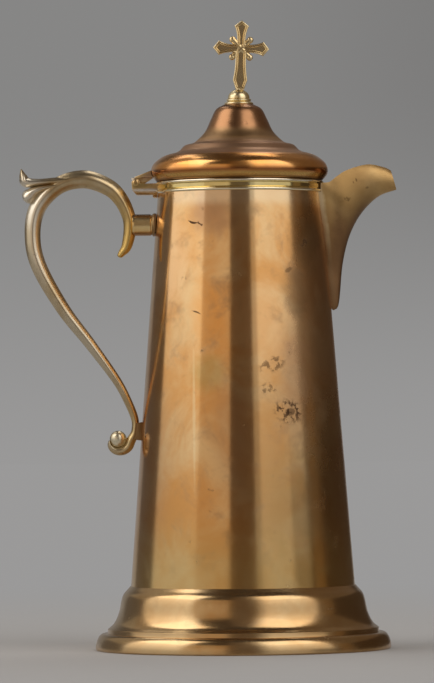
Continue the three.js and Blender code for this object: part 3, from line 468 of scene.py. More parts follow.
# Broad patches of tone: centre, half width and half height, tone, strength, then slant and how much duller they are,
# where they have them
ORANGE, OLIVE, MAUVE = (0.8, 0.36, 0.09), (0.46, 0.35, 0.13), (0.46, 0.26, 0.135)
ROSE, DARK, GOLD = (0.9, 0.6, 0.32), (0.24, 0.15, 0.07), (0.78, 0.5, 0.12)
BODY_PATCHES = [
    (-16, 184, 9, 20, ORANGE, 0.6), (-34, 150, 13, 16, ORANGE, 0.3), (-17, 153, 9, 9, OLIVE, 0.5),
    (-30, 80, 20, 22, ORANGE, 0.3), (14, 176, 12, 22, (0.9, 0.56, 0.27), 0.5),
    (15, 100, 12, 48, (0.62, 0.33, 0.12), 0.7), (26, 82, 17, 24, (0.58, 0.36, 0.14), 0.5, 0, 0.02),
    (30, 150, 9, 30, MAUVE, 0.6, 0, 0.03), (-40, 215, 10, 24, ROSE, 0.6), (-6, 120, 9, 30, MAUVE, 0.4),
    (-14, 246, 11, 15, MAUVE, 0.85), (44, 190, 16, 60, MAUVE, 0.6, 0, 0.2), (-52, 110, 10, 50, MAUVE, 0.4, 0, 0.04),
    # the thin pale upright line at -26.2 mm is a painted highlight streak
    (-26.2, 127, 0.7, 34, (0.95, 0.78, 0.46), 0.28), (36, 226, 8, 14, DARK, 0.6, 0, 0.05),
    (30, 195, 6, 12, DARK, 0.5, 0.3, 0.05), (47, 90, 14, 40, DARK, 0.45, 0, 0.1),
]
body_metal = brass(
    "body", (0.82, 0.54, 0.26), (0.74, 0.38, 0.13), (0.42, 0.25, 0.13), polish=0.09, tarnish=0.55,
    grain=0.08, marks=BODY_MARKS, zones=BODY_ZONES, patches=BODY_PATCHES,
)
foot_metal = brass("foot", (0.65, 0.45, 0.23), (0.59, 0.36, 0.155), (0.38, 0.24, 0.11), polish=0.16, grain=3)
LID_TONE_AND_REFLECTION_ZONES = [
    # The three lowest bands are painted light on the roll's lower edge: a painted shadow line at the rim, a painted
    # olive-gold reflection of the mouth ring, and a painted dark shade band above it. The bands higher up darken the
    # ridge and the bell.
    (LID_Z - 1, LID_Z + 1.3, 0.6, (0.2, 0.11, 0.04), 0.85, 0.1),
    (LID_Z + 1.3, LID_Z + 3.4, 0.8, (0.62, 0.42, 0.13), 0.75, 0.07),
    (LID_Z + 3.4, LID_Z + 5.8, 1.2, (0.26, 0.07, 0.02), 0.75, 0),
    (LID_Z + 13.6, LID_Z + 23.5, 1.0, (0.33, 0.2, 0.13), 0.85, 0.2),
    (LID_Z + 23.5, LID_Z + 50, 2, (0.3, 0.15, 0.08), 0.85, 0.08),
    (LID_Z + 22, LID_Z + 29, 2, (0.34, 0.22, 0.1), 0.6, 0.1),
]
lid_metal = brass("lid", (0.88, 0.47, 0.17), (0.8, 0.35, 0.09), (0.36, 0.2, 0.1), polish=0.16, grain=3, zones=LID_TONE_AND_REFLECTION_ZONES)
COLLAR_BEAD_HIGHLIGHTS = [
    # painted highlights: paler tone on the top and the bottom bead
    (MOUTH_Z - 1.5, MOUTH_Z + 1, 0.2, (0.97, 0.91, 0.76), 0.85, 0),
    (BODY_TOP - 1, BODY_TOP + 1.5, 0.2, (0.95, 0.86, 0.66), 0.7, 0),
]
collar_metal = brass(
    "collar", (0.8, 0.65, 0.32), (0.72, 0.55, 0.21), (0.4, 0.3, 0.12), polish=0.08, grain=3, relief=0.02,
    zones=COLLAR_BEAD_HIGHLIGHTS,
)
HANDLE_TONES_AND_HIGHLIGHTS = [
    # patches of tone; the pale ones on the upper leaf, the left limb, the lower stem and the scroll ball are painted
    # highlights
    (-68, 226, 14, 24, GOLD, 0.8, 0.3), (-117, 252, 8, 12, (0.86, 0.8, 0.68), 0.7),
    (-112, 226, 4, 22, (0.86, 0.76, 0.6), 0.6, 0.1), (-76, 240, 10, 16, (0.6, 0.42, 0.2), 0.5, 0.8),
    (-58, 110, 8, 20, (0.7, 0.5, 0.2), 0.5, 0.2), (-86, 168, 22, 26, (0.66, 0.61, 0.48), 0.6),
    (-69, 117, 5, 5, (0.9, 0.84, 0.64), 0.8),
]
handle_metal = brass(
    "handle", (0.62, 0.5, 0.32), (0.52, 0.38, 0.2), (0.24, 0.17, 0.09), polish=0.26, grain=1, relief=0.01,
    patches=HANDLE_TONES_AND_HIGHLIGHTS,
)
knop_metal = brass("knop", (0.94, 0.82, 0.55), (0.86, 0.7, 0.4), (0.42, 0.32, 0.16), polish=0.24, grain=3, relief=0.02)
cross_metal = brass(
    "cross", (0.84, 0.7, 0.42), (0.78, 0.6, 0.32), (0.4, 0.3, 0.15), polish=0.18, tarnish=0.4, relief=0.03,
)
# painted shade: the lower spout darker
SPOUT_SHADE_ZONES = [(150, 240, 12, (0.32, 0.175, 0.08), 0.6, 0.05)]
SPOUT_PAINTED_LIGHT = [
    # painted shade along the keel side of the root, then two painted highlights along the root's flare
    (56.4, 212, 4.2, 34, (0.09, 0.045, 0.02), 1.0, 0.06), (47.0, 236, 1.5, 26, (0.86, 0.68, 0.42), 0.8, 0.14),
    (50, 215, 1.2, 26, (0.97, 0.8, 0.45), 0.85, 0.09),
]
SPOUT_MARKS = [
    (64.8, 260, 0.5, 1.1, 0.5, 0.3), (63.2, 258.6, 0.4, 0.8, 0.4, 0.3), (70.8, 255.8, 0.8, 0.6, 0.4, 0.3),
]
spout_metal = brass(
    "spout", (0.57, 0.38, 0.165), (0.49, 0.3, 0.115), (0.3, 0.18, 0.08), polish=0.38, grain=1,
    relief=0.02, keel=0.011, zones=SPOUT_SHADE_ZONES, marks=SPOUT_MARKS, patches=SPOUT_PAINTED_LIGHT,
)
inner_metal = brass("inner", (0.5, 0.36, 0.18), (0.44, 0.29, 0.13), (0.2, 0.14, 0.08), polish=0.38, tarnish=0.6)


# Foot

FOOT_SEAT_WIDTH, FOOT_LIP_WIDTH = 9, 7


def foot_outline():
    """Outer line of the foot: moulding, upright step, hollow flare, shoulder and cove."""
    roll_width, roll_high, step_high = 4.6, 9.3, 0.8
    flare_radius, waist, shoulder, seat = 75.4, 69.3, 66.8, BODY_BOTTOM_RADIUS
    quarter = [pi / 2 * step / 16 for step in range(17)]
    roll = [(FOOT_RADIUS - roll_width * (1 - cos(t)), step_high + (roll_high - step_high) * sin(t)) for t in quarter]
    flare_z = roll_high + 2.4
    shares = [
        (flare_radius, 0), (flare_radius - 0.56 * (flare_radius - waist), 0.13), (waist, 0.37),
        (shoulder + 0.35 * (waist - shoulder), 0.68), (shoulder - 0.4, 0.82), (seat + 0.45 * (shoulder - seat), 0.92),
        (seat + 0.4, 1),
    ]
    flare = smooth_line([(radius, flare_z + up * (FOOT_TOP - flare_z)) for radius, up in shares], 48)
    return [Vector(p) for p in [(FOOT_RADIUS - 0.5, 0), *roll, (flare_radius, roll_high)]] + flare


def build_foot():
    outside = foot_outline()
    inside = [p for p in offset_line(outside, FOOT_WALL) if FOOT_WALL < p.y < FOOT_TOP - FOOT_WALL]
    seat, lip = BODY_BOTTOM_RADIUS - FOOT_SEAT_WIDTH, FOOT_RADIUS - FOOT_LIP_WIDTH
    profile = [
        *outside, (seat, FOOT_TOP), (seat, FOOT_TOP - FOOT_WALL), (inside[-1].x, FOOT_TOP - FOOT_WALL),
        *reversed(inside), (FOOT_RADIUS - FOOT_WALL - 0.5, FOOT_WALL), (lip, FOOT_WALL), (lip, 0),
    ]
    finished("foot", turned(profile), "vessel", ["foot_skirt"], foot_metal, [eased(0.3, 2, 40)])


# Body

STRAINER_ROWS, STRAINER_DROP, STRAINER_PITCH, STRAINER_RADIUS = (3, 2, 1, 1, 1), 10.5, 5.4, 2
FLOOR_THICK, FLOOR_CROWN, FLOOR_RIM_HIGH, FLOOR_CHANNEL = 1.2, 1.5, 6, 9


def build_body():
    rows = 24
    outer = [(body_radius(z), z) for z in (FOOT_TOP + (BODY_TOP - FOOT_TOP) * i / rows for i in range(rows + 1))]
    inner = [(r - BODY_WALL, z) for r, z in reversed(outer)]
    mesh = turned([*outer, *inner])
    holes = bmesh.new()
    for row, count in enumerate(STRAINER_ROWS):
        z = BODY_TOP - STRAINER_DROP - row * STRAINER_PITCH
        for i in range(count):
            place = placed(AXIS_X + body_radius(z), (i - (count - 1) / 2) * STRAINER_PITCH, z)
            add_cylinder(holes, STRAINER_RADIUS, 8 * BODY_WALL, place @ Matrix.Rotation(pi / 2, 4, "Y"))
    drill = linked("strainer_drill", holes)
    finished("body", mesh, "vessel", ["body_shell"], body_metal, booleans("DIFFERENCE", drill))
    discard(drill)


def build_floor_disc():
    low, rim_z, thick = FOOT_TOP, FOOT_TOP + FLOOR_RIM_HIGH, FLOOR_THICK
    edge_low, edge_high = (body_radius(z) - BODY_WALL - FIT_GAP for z in (low, rim_z))
    dish = edge_high - thick - FLOOR_CHANNEL
    upper = smooth_line([
        (0, low + thick + FLOOR_CROWN), (dish / 2, low + thick + 0.7 * FLOOR_CROWN), (dish, low + thick),
        (edge_high - 2 * thick, low + thick), (edge_high - thick, low + 2 * thick), (edge_high - thick, rim_z),
    ], 30)
    lower = [(dish, low), (dish / 2, low + 0.7 * FLOOR_CROWN), (0, low + FLOOR_CROWN)]
    mesh = turned([*upper, (edge_high, rim_z), (edge_low, low), *lower], closed=False)
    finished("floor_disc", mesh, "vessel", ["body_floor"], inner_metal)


# Mouth ring

BAND_PROUD, SPIGOT_DEPTH = 0.5, 6


def build_collar():
    band, spigot_z = BODY_TOP_RADIUS + BAND_PROUD, BODY_TOP - SPIGOT_DEPTH
    proud, inner = COLLAR_RADIUS - band, SPIGOT_RADIUS - SPIGOT_WALL
    profile = [
        (inner, spigot_z), (SPIGOT_RADIUS, spigot_z), (SPIGOT_RADIUS, BODY_TOP),
        *bead(band - 0.1, proud + 0.1, BODY_TOP, BODY_TOP + 1.6),
        (band - 0.35, BODY_TOP + 1.9), (band, BODY_TOP + 2.3), (band, MOUTH_Z - 2.2), (band - 0.35, MOUTH_Z - 1.8),
        *bead(band - 0.1, proud + 0.1, MOUTH_Z - 1.5, MOUTH_Z), (inner, MOUTH_Z),
    ]
    ease = [eased(0.12, 2, 50)]
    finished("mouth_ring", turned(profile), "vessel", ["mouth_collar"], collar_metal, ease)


# Lid

LID_HEIGHT, LID_ROLL_HIGH, LID_RIDGE_HIGH = LID_HIGH.z - LID_LOW.z, 15.8, 20.2
LID_TOP_RADIUS, LID_RIM_RADIUS = 8.6, BODY_TOP_RADIUS + BAND_PROUD
LID_GROOVE_INSET, LID_RIDGE_INSET = 13.3, 18.1
BEZEL_WALL, BEZEL_DEPTH, BEZEL_FLANGE = 1.1, 5, 1.8
STUD_BORE, STUD_RADIUS = 1.9, 1.6


def lid_outline():
    """Outer line of the lid from its rim to its flat top, as heights above its underside."""
    high, ridge_high, rise = LID_ROLL_HIGH, LID_RIDGE_HIGH, LID_RIDGE_HIGH - LID_ROLL_HIGH
    groove, ridge = LID_RADIUS - LID_GROOVE_INSET, LID_RADIUS - LID_RIDGE_INSET
    roll_line = smooth_line([
        (LID_RIM_RADIUS, 0), (LID_RADIUS - 0.1, 0.26 * high), (LID_RADIUS - 1, 0.58 * high),
        (LID_RADIUS - 5.4, 0.83 * high), (LID_RADIUS - 9.7, 0.945 * high), (groove, high),
    ], 40)
    ridge_line = smooth_line([
        (groove - 0.5, high + 0.2), (ridge + 0.45 * (groove - ridge), high + 0.3 * rise),
        (ridge + 0.7, high + 0.65 * rise), (ridge - 0.6, ridge_high - 0.3), (ridge - 2.2, ridge_high + 0.3),
    ], 18)
    bell_line = smooth_line([
        (ridge - 4, ridge_high + 0.6), (ridge - 6.9, ridge_high + 2),
        *((LID_TOP_RADIUS + out, up * LID_HEIGHT) for out, up in [(10.5, 0.645), (7.3, 0.8), (4.2, 0.94), (0, 1)]),
    ], 44)
    return [*roll_line, *ridge_line, *bell_line]


def build_lid():
    outside = lid_outline()
    opening, top = BEZEL_RADIUS + FIT_GAP, LID_HEIGHT - LID_WALL
    inside = [p for p in offset_line(outside, LID_WALL) if LID_WALL < p.y < top]
    profile = [
        *outside, (STUD_BORE, LID_HEIGHT), (STUD_BORE, top), (LID_TOP_RADIUS - 0.4, top),
        *reversed(inside), (inside[0].x, LID_WALL), (opening, LID_WALL), (opening, 0),
    ]
    raised = [(r, z + LID_Z) for r, z in profile]
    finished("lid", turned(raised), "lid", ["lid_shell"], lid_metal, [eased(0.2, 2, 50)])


def build_bezel():
    outer, inner, flange = BEZEL_RADIUS, BEZEL_RADIUS - BEZEL_WALL, BEZEL_RADIUS + BEZEL_FLANGE
    low, flange_z = LID_Z - BEZEL_DEPTH, LID_Z + LID_WALL + FIT_GAP
    profile = [
        (inner, low), (outer - 0.3, low), (outer, low + 0.4), (outer, flange_z),
        (flange, flange_z), (flange, flange_z + BEZEL_WALL), (inner, flange_z + BEZEL_WALL),
    ]
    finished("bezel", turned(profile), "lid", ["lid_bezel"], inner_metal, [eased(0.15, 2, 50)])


def lid_envelope(grow):
    """Closed shape of the lid's roll, grown by a distance, that the spout and the hinge leaf clear."""
    outline = [p for p in offset_line(lid_outline(), -grow) if 0 < p.y < LID_ROLL_HIGH]
    profile = [(0, -grow), (LID_RIM_RADIUS, -grow), *outline, (0, LID_ROLL_HIGH)]
    return turned([(r, z + LID_Z) for r, z in profile], closed=False)


# Finial


def build_knop():
    radius, low, tall = KNOP_HIGH.y, KNOP_LOW.z, KNOP_HIGH.z - KNOP_LOW.z
    ring, dome_wide, neck = 6.9, 6.1, 2.6
    shares = [(dome_wide, 0.43), (0.95 * dome_wide, 0.62), (0.81 * dome_wide, 0.79), (0.6 * dome_wide, 0.92), (neck, 1)]
    dome = smooth_line([(r, low + up * tall) for r, up in shares], 24)
    profile = [
        (STUD_BORE, low), (radius - 0.2, low), *bead(radius - 0.45, 0.45, low + 0.01 * tall, low + 0.14 * tall, 8),
        (radius - 0.8, low + 0.17 * tall), (ring - 0.5, low + 0.22 * tall),
        *bead(ring - 0.4, 0.4, low + 0.24 * tall, low + 0.38 * tall, 8), (dome_wide - 0.4, low + 0.4 * tall),
        *dome, (STUD_BORE, low + tall),
    ]
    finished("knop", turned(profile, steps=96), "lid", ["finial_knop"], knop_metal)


CROSS_FOOT_Z = KNOP_HIGH.z + FIT_GAP
CROSS_SHAFT, CROSS_TOP_ARM, CROSS_SIDE_ARM = 22.8, 15.7, 15.6
CROSS_NECK, CROSS_SHAFT_NECK, CROSS_SHOULDER = 2.3, 3.1, 4.0
CROSS_POINT, CROSS_FOOT_HALF, CROSS_THICK = 3.2, 2.4, 3.2
CROSS_KNOB_RADIUS, CROSS_KNOB_REACH, CROSS_RAY_RADIUS, CROSS_RAY_FLATNESS = 1.8, 4.9, 1.6, 0.68
CROSS_LEAN, CROSS_OFFSET = radians(2.3), 0.65
# Raised beads along the border as (radius, rise), and the step (inset, depth) inside each
CROSS_OUTER_BEAD, CROSS_OUTER_STEP = (0.42, 0.45), (0.1, -0.08)
CROSS_INNER_BEAD, CROSS_INNER_STEP = (0.36, 0.42), (0.08, -0.14)


def arm_outline(length, neck, inner, back, end_half=0.0):
    """One arm along +X: neck, flare, shoulders and its end."""
    shoulder_at = length - back
    middle = Vector((inner + 0.55 * (shoulder_at - inner), 0.82 * neck))
    start, stop = Vector((inner, neck)), Vector((shoulder_at, CROSS_SHOULDER))
    shares = [i / 8 for i in range(9)]
    upper = [start * (1 - t) ** 2 + middle * 2 * t * (1 - t) + stop * t**2 for t in shares]
    if end_half:
        upper.append(Vector((length, end_half)))
    tip = [] if end_half else [Vector((length, 0))]
    return [*(Vector((p.x, -p.y)) for p in upper), *tip, *reversed(upper)]


def cross_outline():
    side = arm_outline(CROSS_SIDE_ARM, CROSS_NECK, CROSS_SHAFT_NECK, CROSS_POINT)
    top = arm_outline(CROSS_TOP_ARM, CROSS_NECK, CROSS_NECK, CROSS_POINT)
    shaft = arm_outline(CROSS_SHAFT, CROSS_SHAFT_NECK, CROSS_NECK, CROSS_SHAFT * 0.225, CROSS_FOOT_HALF)
    around = []
    for i, arm in enumerate((side, top, side, shaft)):
        turn = Matrix.Rotation(i * pi / 2, 2)
        around += [turn @ p for p in arm]
    return [p for i, p in enumerate(around) if (p - around[i - 1]).length > 1e-3]


def border_bead(radius, rise):
    """Insets as (thickness, depth) that raise a half-round bead along an outline."""
    turns = pairwise(pi * i / 6 for i in range(7))
    return [(radius * (cos(a) - cos(b)), rise * (sin(b) - sin(a))) for a, b in turns]


def build_cross():
    """Plate with a raised double border and a sunk field on both faces, four flat rays, and a stud."""
    mesh = bmesh.new()
    low = CROSS_THICK / 2 - CROSS_OUTER_BEAD[1]
    verts = [mesh.verts.new(Vector((p.x, -low, p.y)) * MM) for p in cross_outline()]
    face = mesh.faces.new(verts)
    steps = [*border_bead(*CROSS_OUTER_BEAD), CROSS_OUTER_STEP, *border_bead(*CROSS_INNER_BEAD), CROSS_INNER_STEP]
    for thickness, depth in steps:
        ops.inset_region(
            mesh, faces=[face], thickness=thickness * MM, depth=depth * MM, use_boundary=True, use_even_offset=True
        )
    mesh.normal_update()
    ops.mirror(mesh, geom=mesh.verts[:] + mesh.edges[:] + mesh.faces[:], axis="Y", merge_dist=-1)
    rims = [e for e in mesh.edges if e.is_boundary]
    ops.bridge_loops(mesh, edges=rims)
    flat = Matrix.Diagonal((1, CROSS_RAY_FLATNESS, 1, 1))
    for x, z in product((1, -1), repeat=2):
        end = Vector((x, 0, z)) * CROSS_KNOB_REACH
        ops.create_uvsphere(
            mesh, u_segments=32, v_segments=20, radius=CROSS_KNOB_RADIUS * MM, matrix=flat @ placed(*end)
        )
        turn = Matrix.Rotation(atan2(x, z), 4, "Y")
        add_cylinder(mesh, CROSS_RAY_RADIUS, end.length, flat @ placed(*(end / 2)) @ turn)
    lean = placed(AXIS_X + CROSS_OFFSET, 0, CROSS_FOOT_Z) @ Matrix.Rotation(CROSS_LEAN, 4, "Y")
    ops.transform(mesh, matrix=lean @ placed(0, 0, CROSS_SHAFT), verts=mesh.verts)
    stud_low, stud_high = CROSS_LOW.z, CROSS_FOOT_Z + 0.4
    add_cylinder(mesh, STUD_RADIUS, stud_high - stud_low, placed(AXIS_X, 0, (stud_low + stud_high) / 2))
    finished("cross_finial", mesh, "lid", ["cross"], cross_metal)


# Hinge


HINGE_X, HINGE_Z = (PIN_LOW.x + PIN_HIGH.x) / 2, (PIN_LOW.z + PIN_HIGH.z) / 2
HINGE_WIDTH, HINGE_MIDDLE, KNUCKLE_RADIUS, PIN_BORE = 13.0, 5.0, 2.35, 1.15
BLOCK_DEPTH, SLOT_RADIUS = 6.5, 4.2
LEAF_RISE, LEAF_THICK = 6.9, 3.4
APRON_THICK, APRON_DEPTH = 1.3, 8.2
RIVET_RADIUS, RIVET_HEAD_RADIUS, RIVET_HEAD_THICK = 1.05, 1.7, 0.5


def at_hinge(outline):
    """An outline given from the hinge's axis."""
    return [(HINGE_X + x, HINGE_Z + z) for x, z in outline]


def hinge_bar(radius, length):
    """A bmesh of a round bar along the hinge's axis, in millimetres."""
    mesh = bmesh.new()
    add_cylinder(mesh, radius, length, placed(HINGE_X, 0, HINGE_Z) @ Matrix.Rotation(pi / 2, 4, "X"), 64)
    return mesh


def build_body_leaf():
    """Block with two knuckles on the vessel, and an apron over the mouth ring."""
    end = -HINGE_X + AXIS_X - COLLAR_RADIUS + 4
    arc = [-0.13 + (pi + 0.13) * i / 28 for i in range(29)]
    outline = [(end, -FIT_GAP), *((KNUCKLE_RADIUS * cos(t), KNUCKLE_RADIUS * sin(t)) for t in arc)]
    outline += [(0.35 - KNUCKLE_RADIUS, -0.6 * BLOCK_DEPTH), (0.4, -BLOCK_DEPTH), (end, -BLOCK_DEPTH)]
    chamfers = bmesh.new()
    for side in (1, -1):
        edge = placed(HINGE_X, side * HINGE_WIDTH / 2, HINGE_Z - BLOCK_DEPTH - 0.6)
        form = Matrix.Rotation(pi / 4, 4, "X") @ Matrix.Diagonal((44, 4, 4, 1))
        ops.create_cube(chamfers, size=MM, matrix=edge @ form)
    mouth, low = BODY_TOP_RADIUS + 0.4, BODY_TOP - BLOCK_DEPTH
    cuts = [
        linked("chamfer_cutter", chamfers),
        linked("collar_cutter", turned([(0, low), (mouth, low), (mouth, MOUTH_Z + 2), (0, MOUTH_Z + 2)], closed=False)),
        linked("slot_cutter", hinge_bar(SLOT_RADIUS, HINGE_MIDDLE + 2 * FIT_GAP)),
        linked("bore_cutter", hinge_bar(PIN_BORE, 2 * HINGE_WIDTH)),
    ]
    block = shaped(slab(at_hinge(outline), HINGE_WIDTH), [*booleans("DIFFERENCE", cuts[0]), eased(0.28, 3)])
    block = shaped(block, booleans("DIFFERENCE", *cuts[1:]))
    half, low, top = HINGE_WIDTH / 2 - 0.06, HINGE_Z - APRON_DEPTH, HINGE_Z - 2 * FIT_GAP
    shares = [(-1, 0.5), (-0.82, 0.32), (-0.45, 0.07), (0, 0), (0.45, 0.07), (0.82, 0.32), (1, 0.5)]
    curve = smooth_line([(side * half, low + up * APRON_DEPTH) for side, up in shares], 30)
    shield = linked("shield_cutter", slab([(-half, HINGE_Z), *curve, (half, HINGE_Z)], 4 * HINGE_X, "X"))
    inner, outer = COLLAR_RADIUS + FIT_GAP, COLLAR_RADIUS + FIT_GAP + APRON_THICK
    ring = turned([
        (inner, top), (inner, BODY_TOP - FIT_GAP), (BODY_TOP_RADIUS + FIT_GAP, BODY_TOP - FIT_GAP),
        (body_radius(low) + FIT_GAP, low), (inner + 0.4 * APRON_THICK, low), (outer, low + 0.8),
        (inner + 0.7 * APRON_THICK, low + 2.2), (outer, BODY_TOP), (outer, top),
    ])
    apron = shaped(ring, [*booleans("INTERSECT", shield), eased(0.2, 2, 40)])
    discard(*cuts, shield)
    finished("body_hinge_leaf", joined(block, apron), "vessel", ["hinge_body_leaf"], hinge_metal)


def build_lid_leaf():
    """Sloping plate from the lid to the pin, with the middle knuckle and a short lip."""
    plate_end = -HINGE_X + AXIS_X - LID_RADIUS
    under, radius = LEAF_RISE - LEAF_THICK, KNUCKLE_RADIUS
    tip = LEAF_RISE - (plate_end + 0.7) * 0.4
    plate = slab(at_hinge([
        (-0.7, tip), (-0.7, radius + 0.05), (0.6 * radius, radius + 0.15), (0.43 * plate_end, under - 0.3),
        (plate_end + 4, under), (plate_end + 4, LEAF_RISE), (plate_end, LEAF_RISE),
    ]), HINGE_WIDTH)
    web = slab(at_hinge([
        (-0.7, tip - 0.1), (-radius, radius + 0.75), (-radius - 0.2, radius), (-0.6 * radius, 0.4 * radius),
        (0, -0.9 * radius), (0.6 * plate_end, 0.1), (plate_end + 1.2, under - 0.6), (plate_end + 1.2, LEAF_RISE - 0.1),
        (plate_end, LEAF_RISE - 0.1),
    ]), HINGE_MIDDLE)
    cuts = [
        linked("ear_cutter", hinge_bar(radius + FIT_GAP, 2 * HINGE_WIDTH)),
        linked("roll_cutter", lid_envelope(FIT_GAP)),
        linked("bore_cutter", hinge_bar(PIN_BORE, 2 * HINGE_WIDTH)),
    ]
    parts = [
        shaped(plate, [eased(0.3, 3), *booleans("DIFFERENCE", *cuts[:2])]),
        shaped(web, [eased(0.2, 2), *booleans("DIFFERENCE", *cuts[1:])]),
        shaped(hinge_bar(radius, HINGE_MIDDLE), [eased(0.2, 2, 60), *booleans("DIFFERENCE", cuts[2])]),
    ]
    discard(*cuts)
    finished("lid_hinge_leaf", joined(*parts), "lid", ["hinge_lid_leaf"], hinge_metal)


def build_rivet():
    """Pin with a low round head at each end."""
    centre, half = (PIN_LOW + PIN_HIGH) / 2, PIN_HIGH.y
    mesh = bmesh.new()
    add_cylinder(mesh, RIVET_RADIUS, 2 * half, placed(*centre) @ Matrix.Rotation(pi / 2, 4, "X"), 32)
    form = Matrix.Diagonal((RIVET_HEAD_RADIUS, RIVET_HEAD_THICK, RIVET_HEAD_RADIUS, 1))
    for side in (1, -1):
        flat = Vector((0, side * (half - RIVET_HEAD_THICK), 0))
        head = placed(*(centre + flat)) @ form
        cap = ops.create_uvsphere(mesh, u_segments=32, v_segments=16, radius=MM, matrix=head)["verts"]
        geom = cap + [e for e in mesh.edges if e.verts[0] in cap] + [f for f in mesh.faces if f.verts[0] in cap]
        cut = ops.bisect_plane(mesh, geom=geom, plane_co=flat * MM, plane_no=(0, -side, 0), clear_outer=True)
        ops.edgeloop_fill(mesh, edges=picked(cut["geom_cut"], BMEdge))
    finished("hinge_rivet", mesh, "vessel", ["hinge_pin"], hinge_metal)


HINGE_TONES_AND_HIGHLIGHTS = [
    # patches of tone; the white spot at the lid leaf's outer end and the pale strip along the block are painted
    # highlights
    (-60.5, 262.4, 2.2, 1.6, (1.0, 0.97, 0.9), 0.9), (-50, 263.5, 5, 1.6, (0.62, 0.4, 0.26), 0.7, 0.4),
    (-52, 255.3, 9, 1.1, (0.86, 0.84, 0.8), 0.8), (-55, 258, 5, 1.6, OLIVE, 0.6),
]
hinge_metal = brass(
    "hinge", (0.82, 0.58, 0.28), (0.7, 0.42, 0.15), (0.3, 0.2, 0.1), polish=0.24, tarnish=0.4, relief=0.02,
    patches=HINGE_TONES_AND_HIGHLIGHTS,
)

# Handle

STRUT_LENGTH, STRUT_RADIUS, STRUT_SINK, LUG_LENGTH, LUG_RISE = 14.4, 6.0, 1.5, 3.7, 86.1
PAD_FAR, PAD_REACH = 1.8, 0.5  # past this place the lower pad is moved to close the gap of light at the body
STRUT_Z, LUG_Z = (STRUT_LOW.z + STRUT_HIGH.z) / 2, FOOT_TOP + LUG_RISE
STRUT_X = AXIS_X - body_radius(STRUT_Z) - STRUT_LENGTH
LUG_X = AXIS_X - body_radius(LUG_Z) - LUG_LENGTH
HANDLE_PROJECTION, ARCH_RISE = 54.3, 25.8
BAR, LEAST_WIDTH, LEAF_WIDTH = 10.1, 6.0, 9.4
KNOB_RADIUS, KNOB_INSET, KNOB_DROP = 4.4, 9.4, 4.3
SCROLL_BAND, SCROLL_END, SCROLL_START, SCROLL_SWEEP = 5.5, 1.1, -10, -162


def bar_row(out, up, thick, wide=0):
    """A place along a cast bar as (x, z, thickness, width) in millimetres.

    Out is a share of the handle's projection, up a share of the rise above the strut or of the drop below it, and
    thick a share of the thickness at the crown.
    """
    z = STRUT_Z + up * (ARCH_RISE if up > 0 else STRUT_Z - LUG_Z)
    line = STRUT_X + (LUG_X - STRUT_X) * max(0, -up)
    return line - out * HANDLE_PROJECTION, z, thick * BAR, wide or max(thick * BAR, LEAST_WIDTH)




def bar_rows():
    """The bar from its pointed leaf under the strut, over the arch, and down to the eye of the lower scroll."""
    rows = [bar_row(*shares) for shares in [
        (0.121, -0.155, 0.1, 1.4), (0.114, -0.15, 0.28, 3), (0.085, -0.133, 0.42, 4.4), (0.036, -0.1, 0.58),
        (0, -0.02, 0.7), (0.012, 0.2, 0.74), (0.089, 0.554, 0.83), (0.22, 0.826, 0.93), (0.463, 1, 1),
        (0.73, 0.864, 0.94), (0.94, 0.415, 0.94), (1, -0.042, 0.87), (0.944, -0.194, 0.86), (0.706, -0.403, 0.75),
        (0.431, -0.579, 0.62), (0.172, -0.755, 0.49), (0.049, -0.872, 0.44), (-0.003, -0.944, 0.41), (0, -0.99, 0.37),
    ]]
    eye_x, eye_z = LUG_X - KNOB_INSET, LUG_Z - KNOB_DROP
    rows.append((eye_x + 0.93 * KNOB_INSET, eye_z + 0.5 * KNOB_DROP, 0.85 * SCROLL_BAND, LEAST_WIDTH))
    for share in (step / 6 for step in range(7)):
        turn = radians(SCROLL_START + SCROLL_SWEEP * share)
        band = SCROLL_END + (SCROLL_BAND - SCROLL_END) * (1 - share**2.5)
        radius = KNOB_RADIUS + band / 2 - 0.15
        rows.append((eye_x + radius * cos(turn), eye_z + radius * sin(turn), band, LEAST_WIDTH - 2 * share))
    return rows


def build_handle():
    """One casting: the bar, two leaf tips behind it and the ball in the eye of the lower scroll."""
    wide = LEAF_WIDTH
    upper_leaf = swept([bar_row(*shares) for shares in [
        (0.564, 0.996, 0.45, wide), (0.767, 0.957, 0.45, wide), (0.942, 0.938, 0.42, wide), (1.06, 0.945, 0.58, wide),
        (1.089, 1.058, 0.46, 0.8 * wide), (1.104, 1.174, 0.2, 0.4 * wide), (1.11, 1.233, 0.04, 0.08 * wide),
    ]], 60)
    lower_leaf = swept([bar_row(*shares) for shares in [
        (0.712, 0.872, 0.42, wide), (0.868, 0.82, 0.4, wide), (0.968, 0.75, 0.56, wide), (1.03, 0.645, 0.8, wide),
        (1.073, 0.59, 0.6, 0.8 * wide), (1.092, 0.566, 0.12, 0.2 * wide),
    ]], 50)
    ball = bmesh.new()
    eye = placed(LUG_X - KNOB_INSET, 0, LUG_Z - KNOB_DROP)
    ops.create_uvsphere(ball, u_segments=40, v_segments=28, radius=(KNOB_RADIUS + 0.3) * MM, matrix=eye)
    joins = [linked("upper_leaf", upper_leaf), linked("lower_leaf", lower_leaf), linked("scroll_ball", ball)]
    union = booleans("UNION", *joins)
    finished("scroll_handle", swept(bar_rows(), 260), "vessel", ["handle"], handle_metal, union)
    discard(*joins)


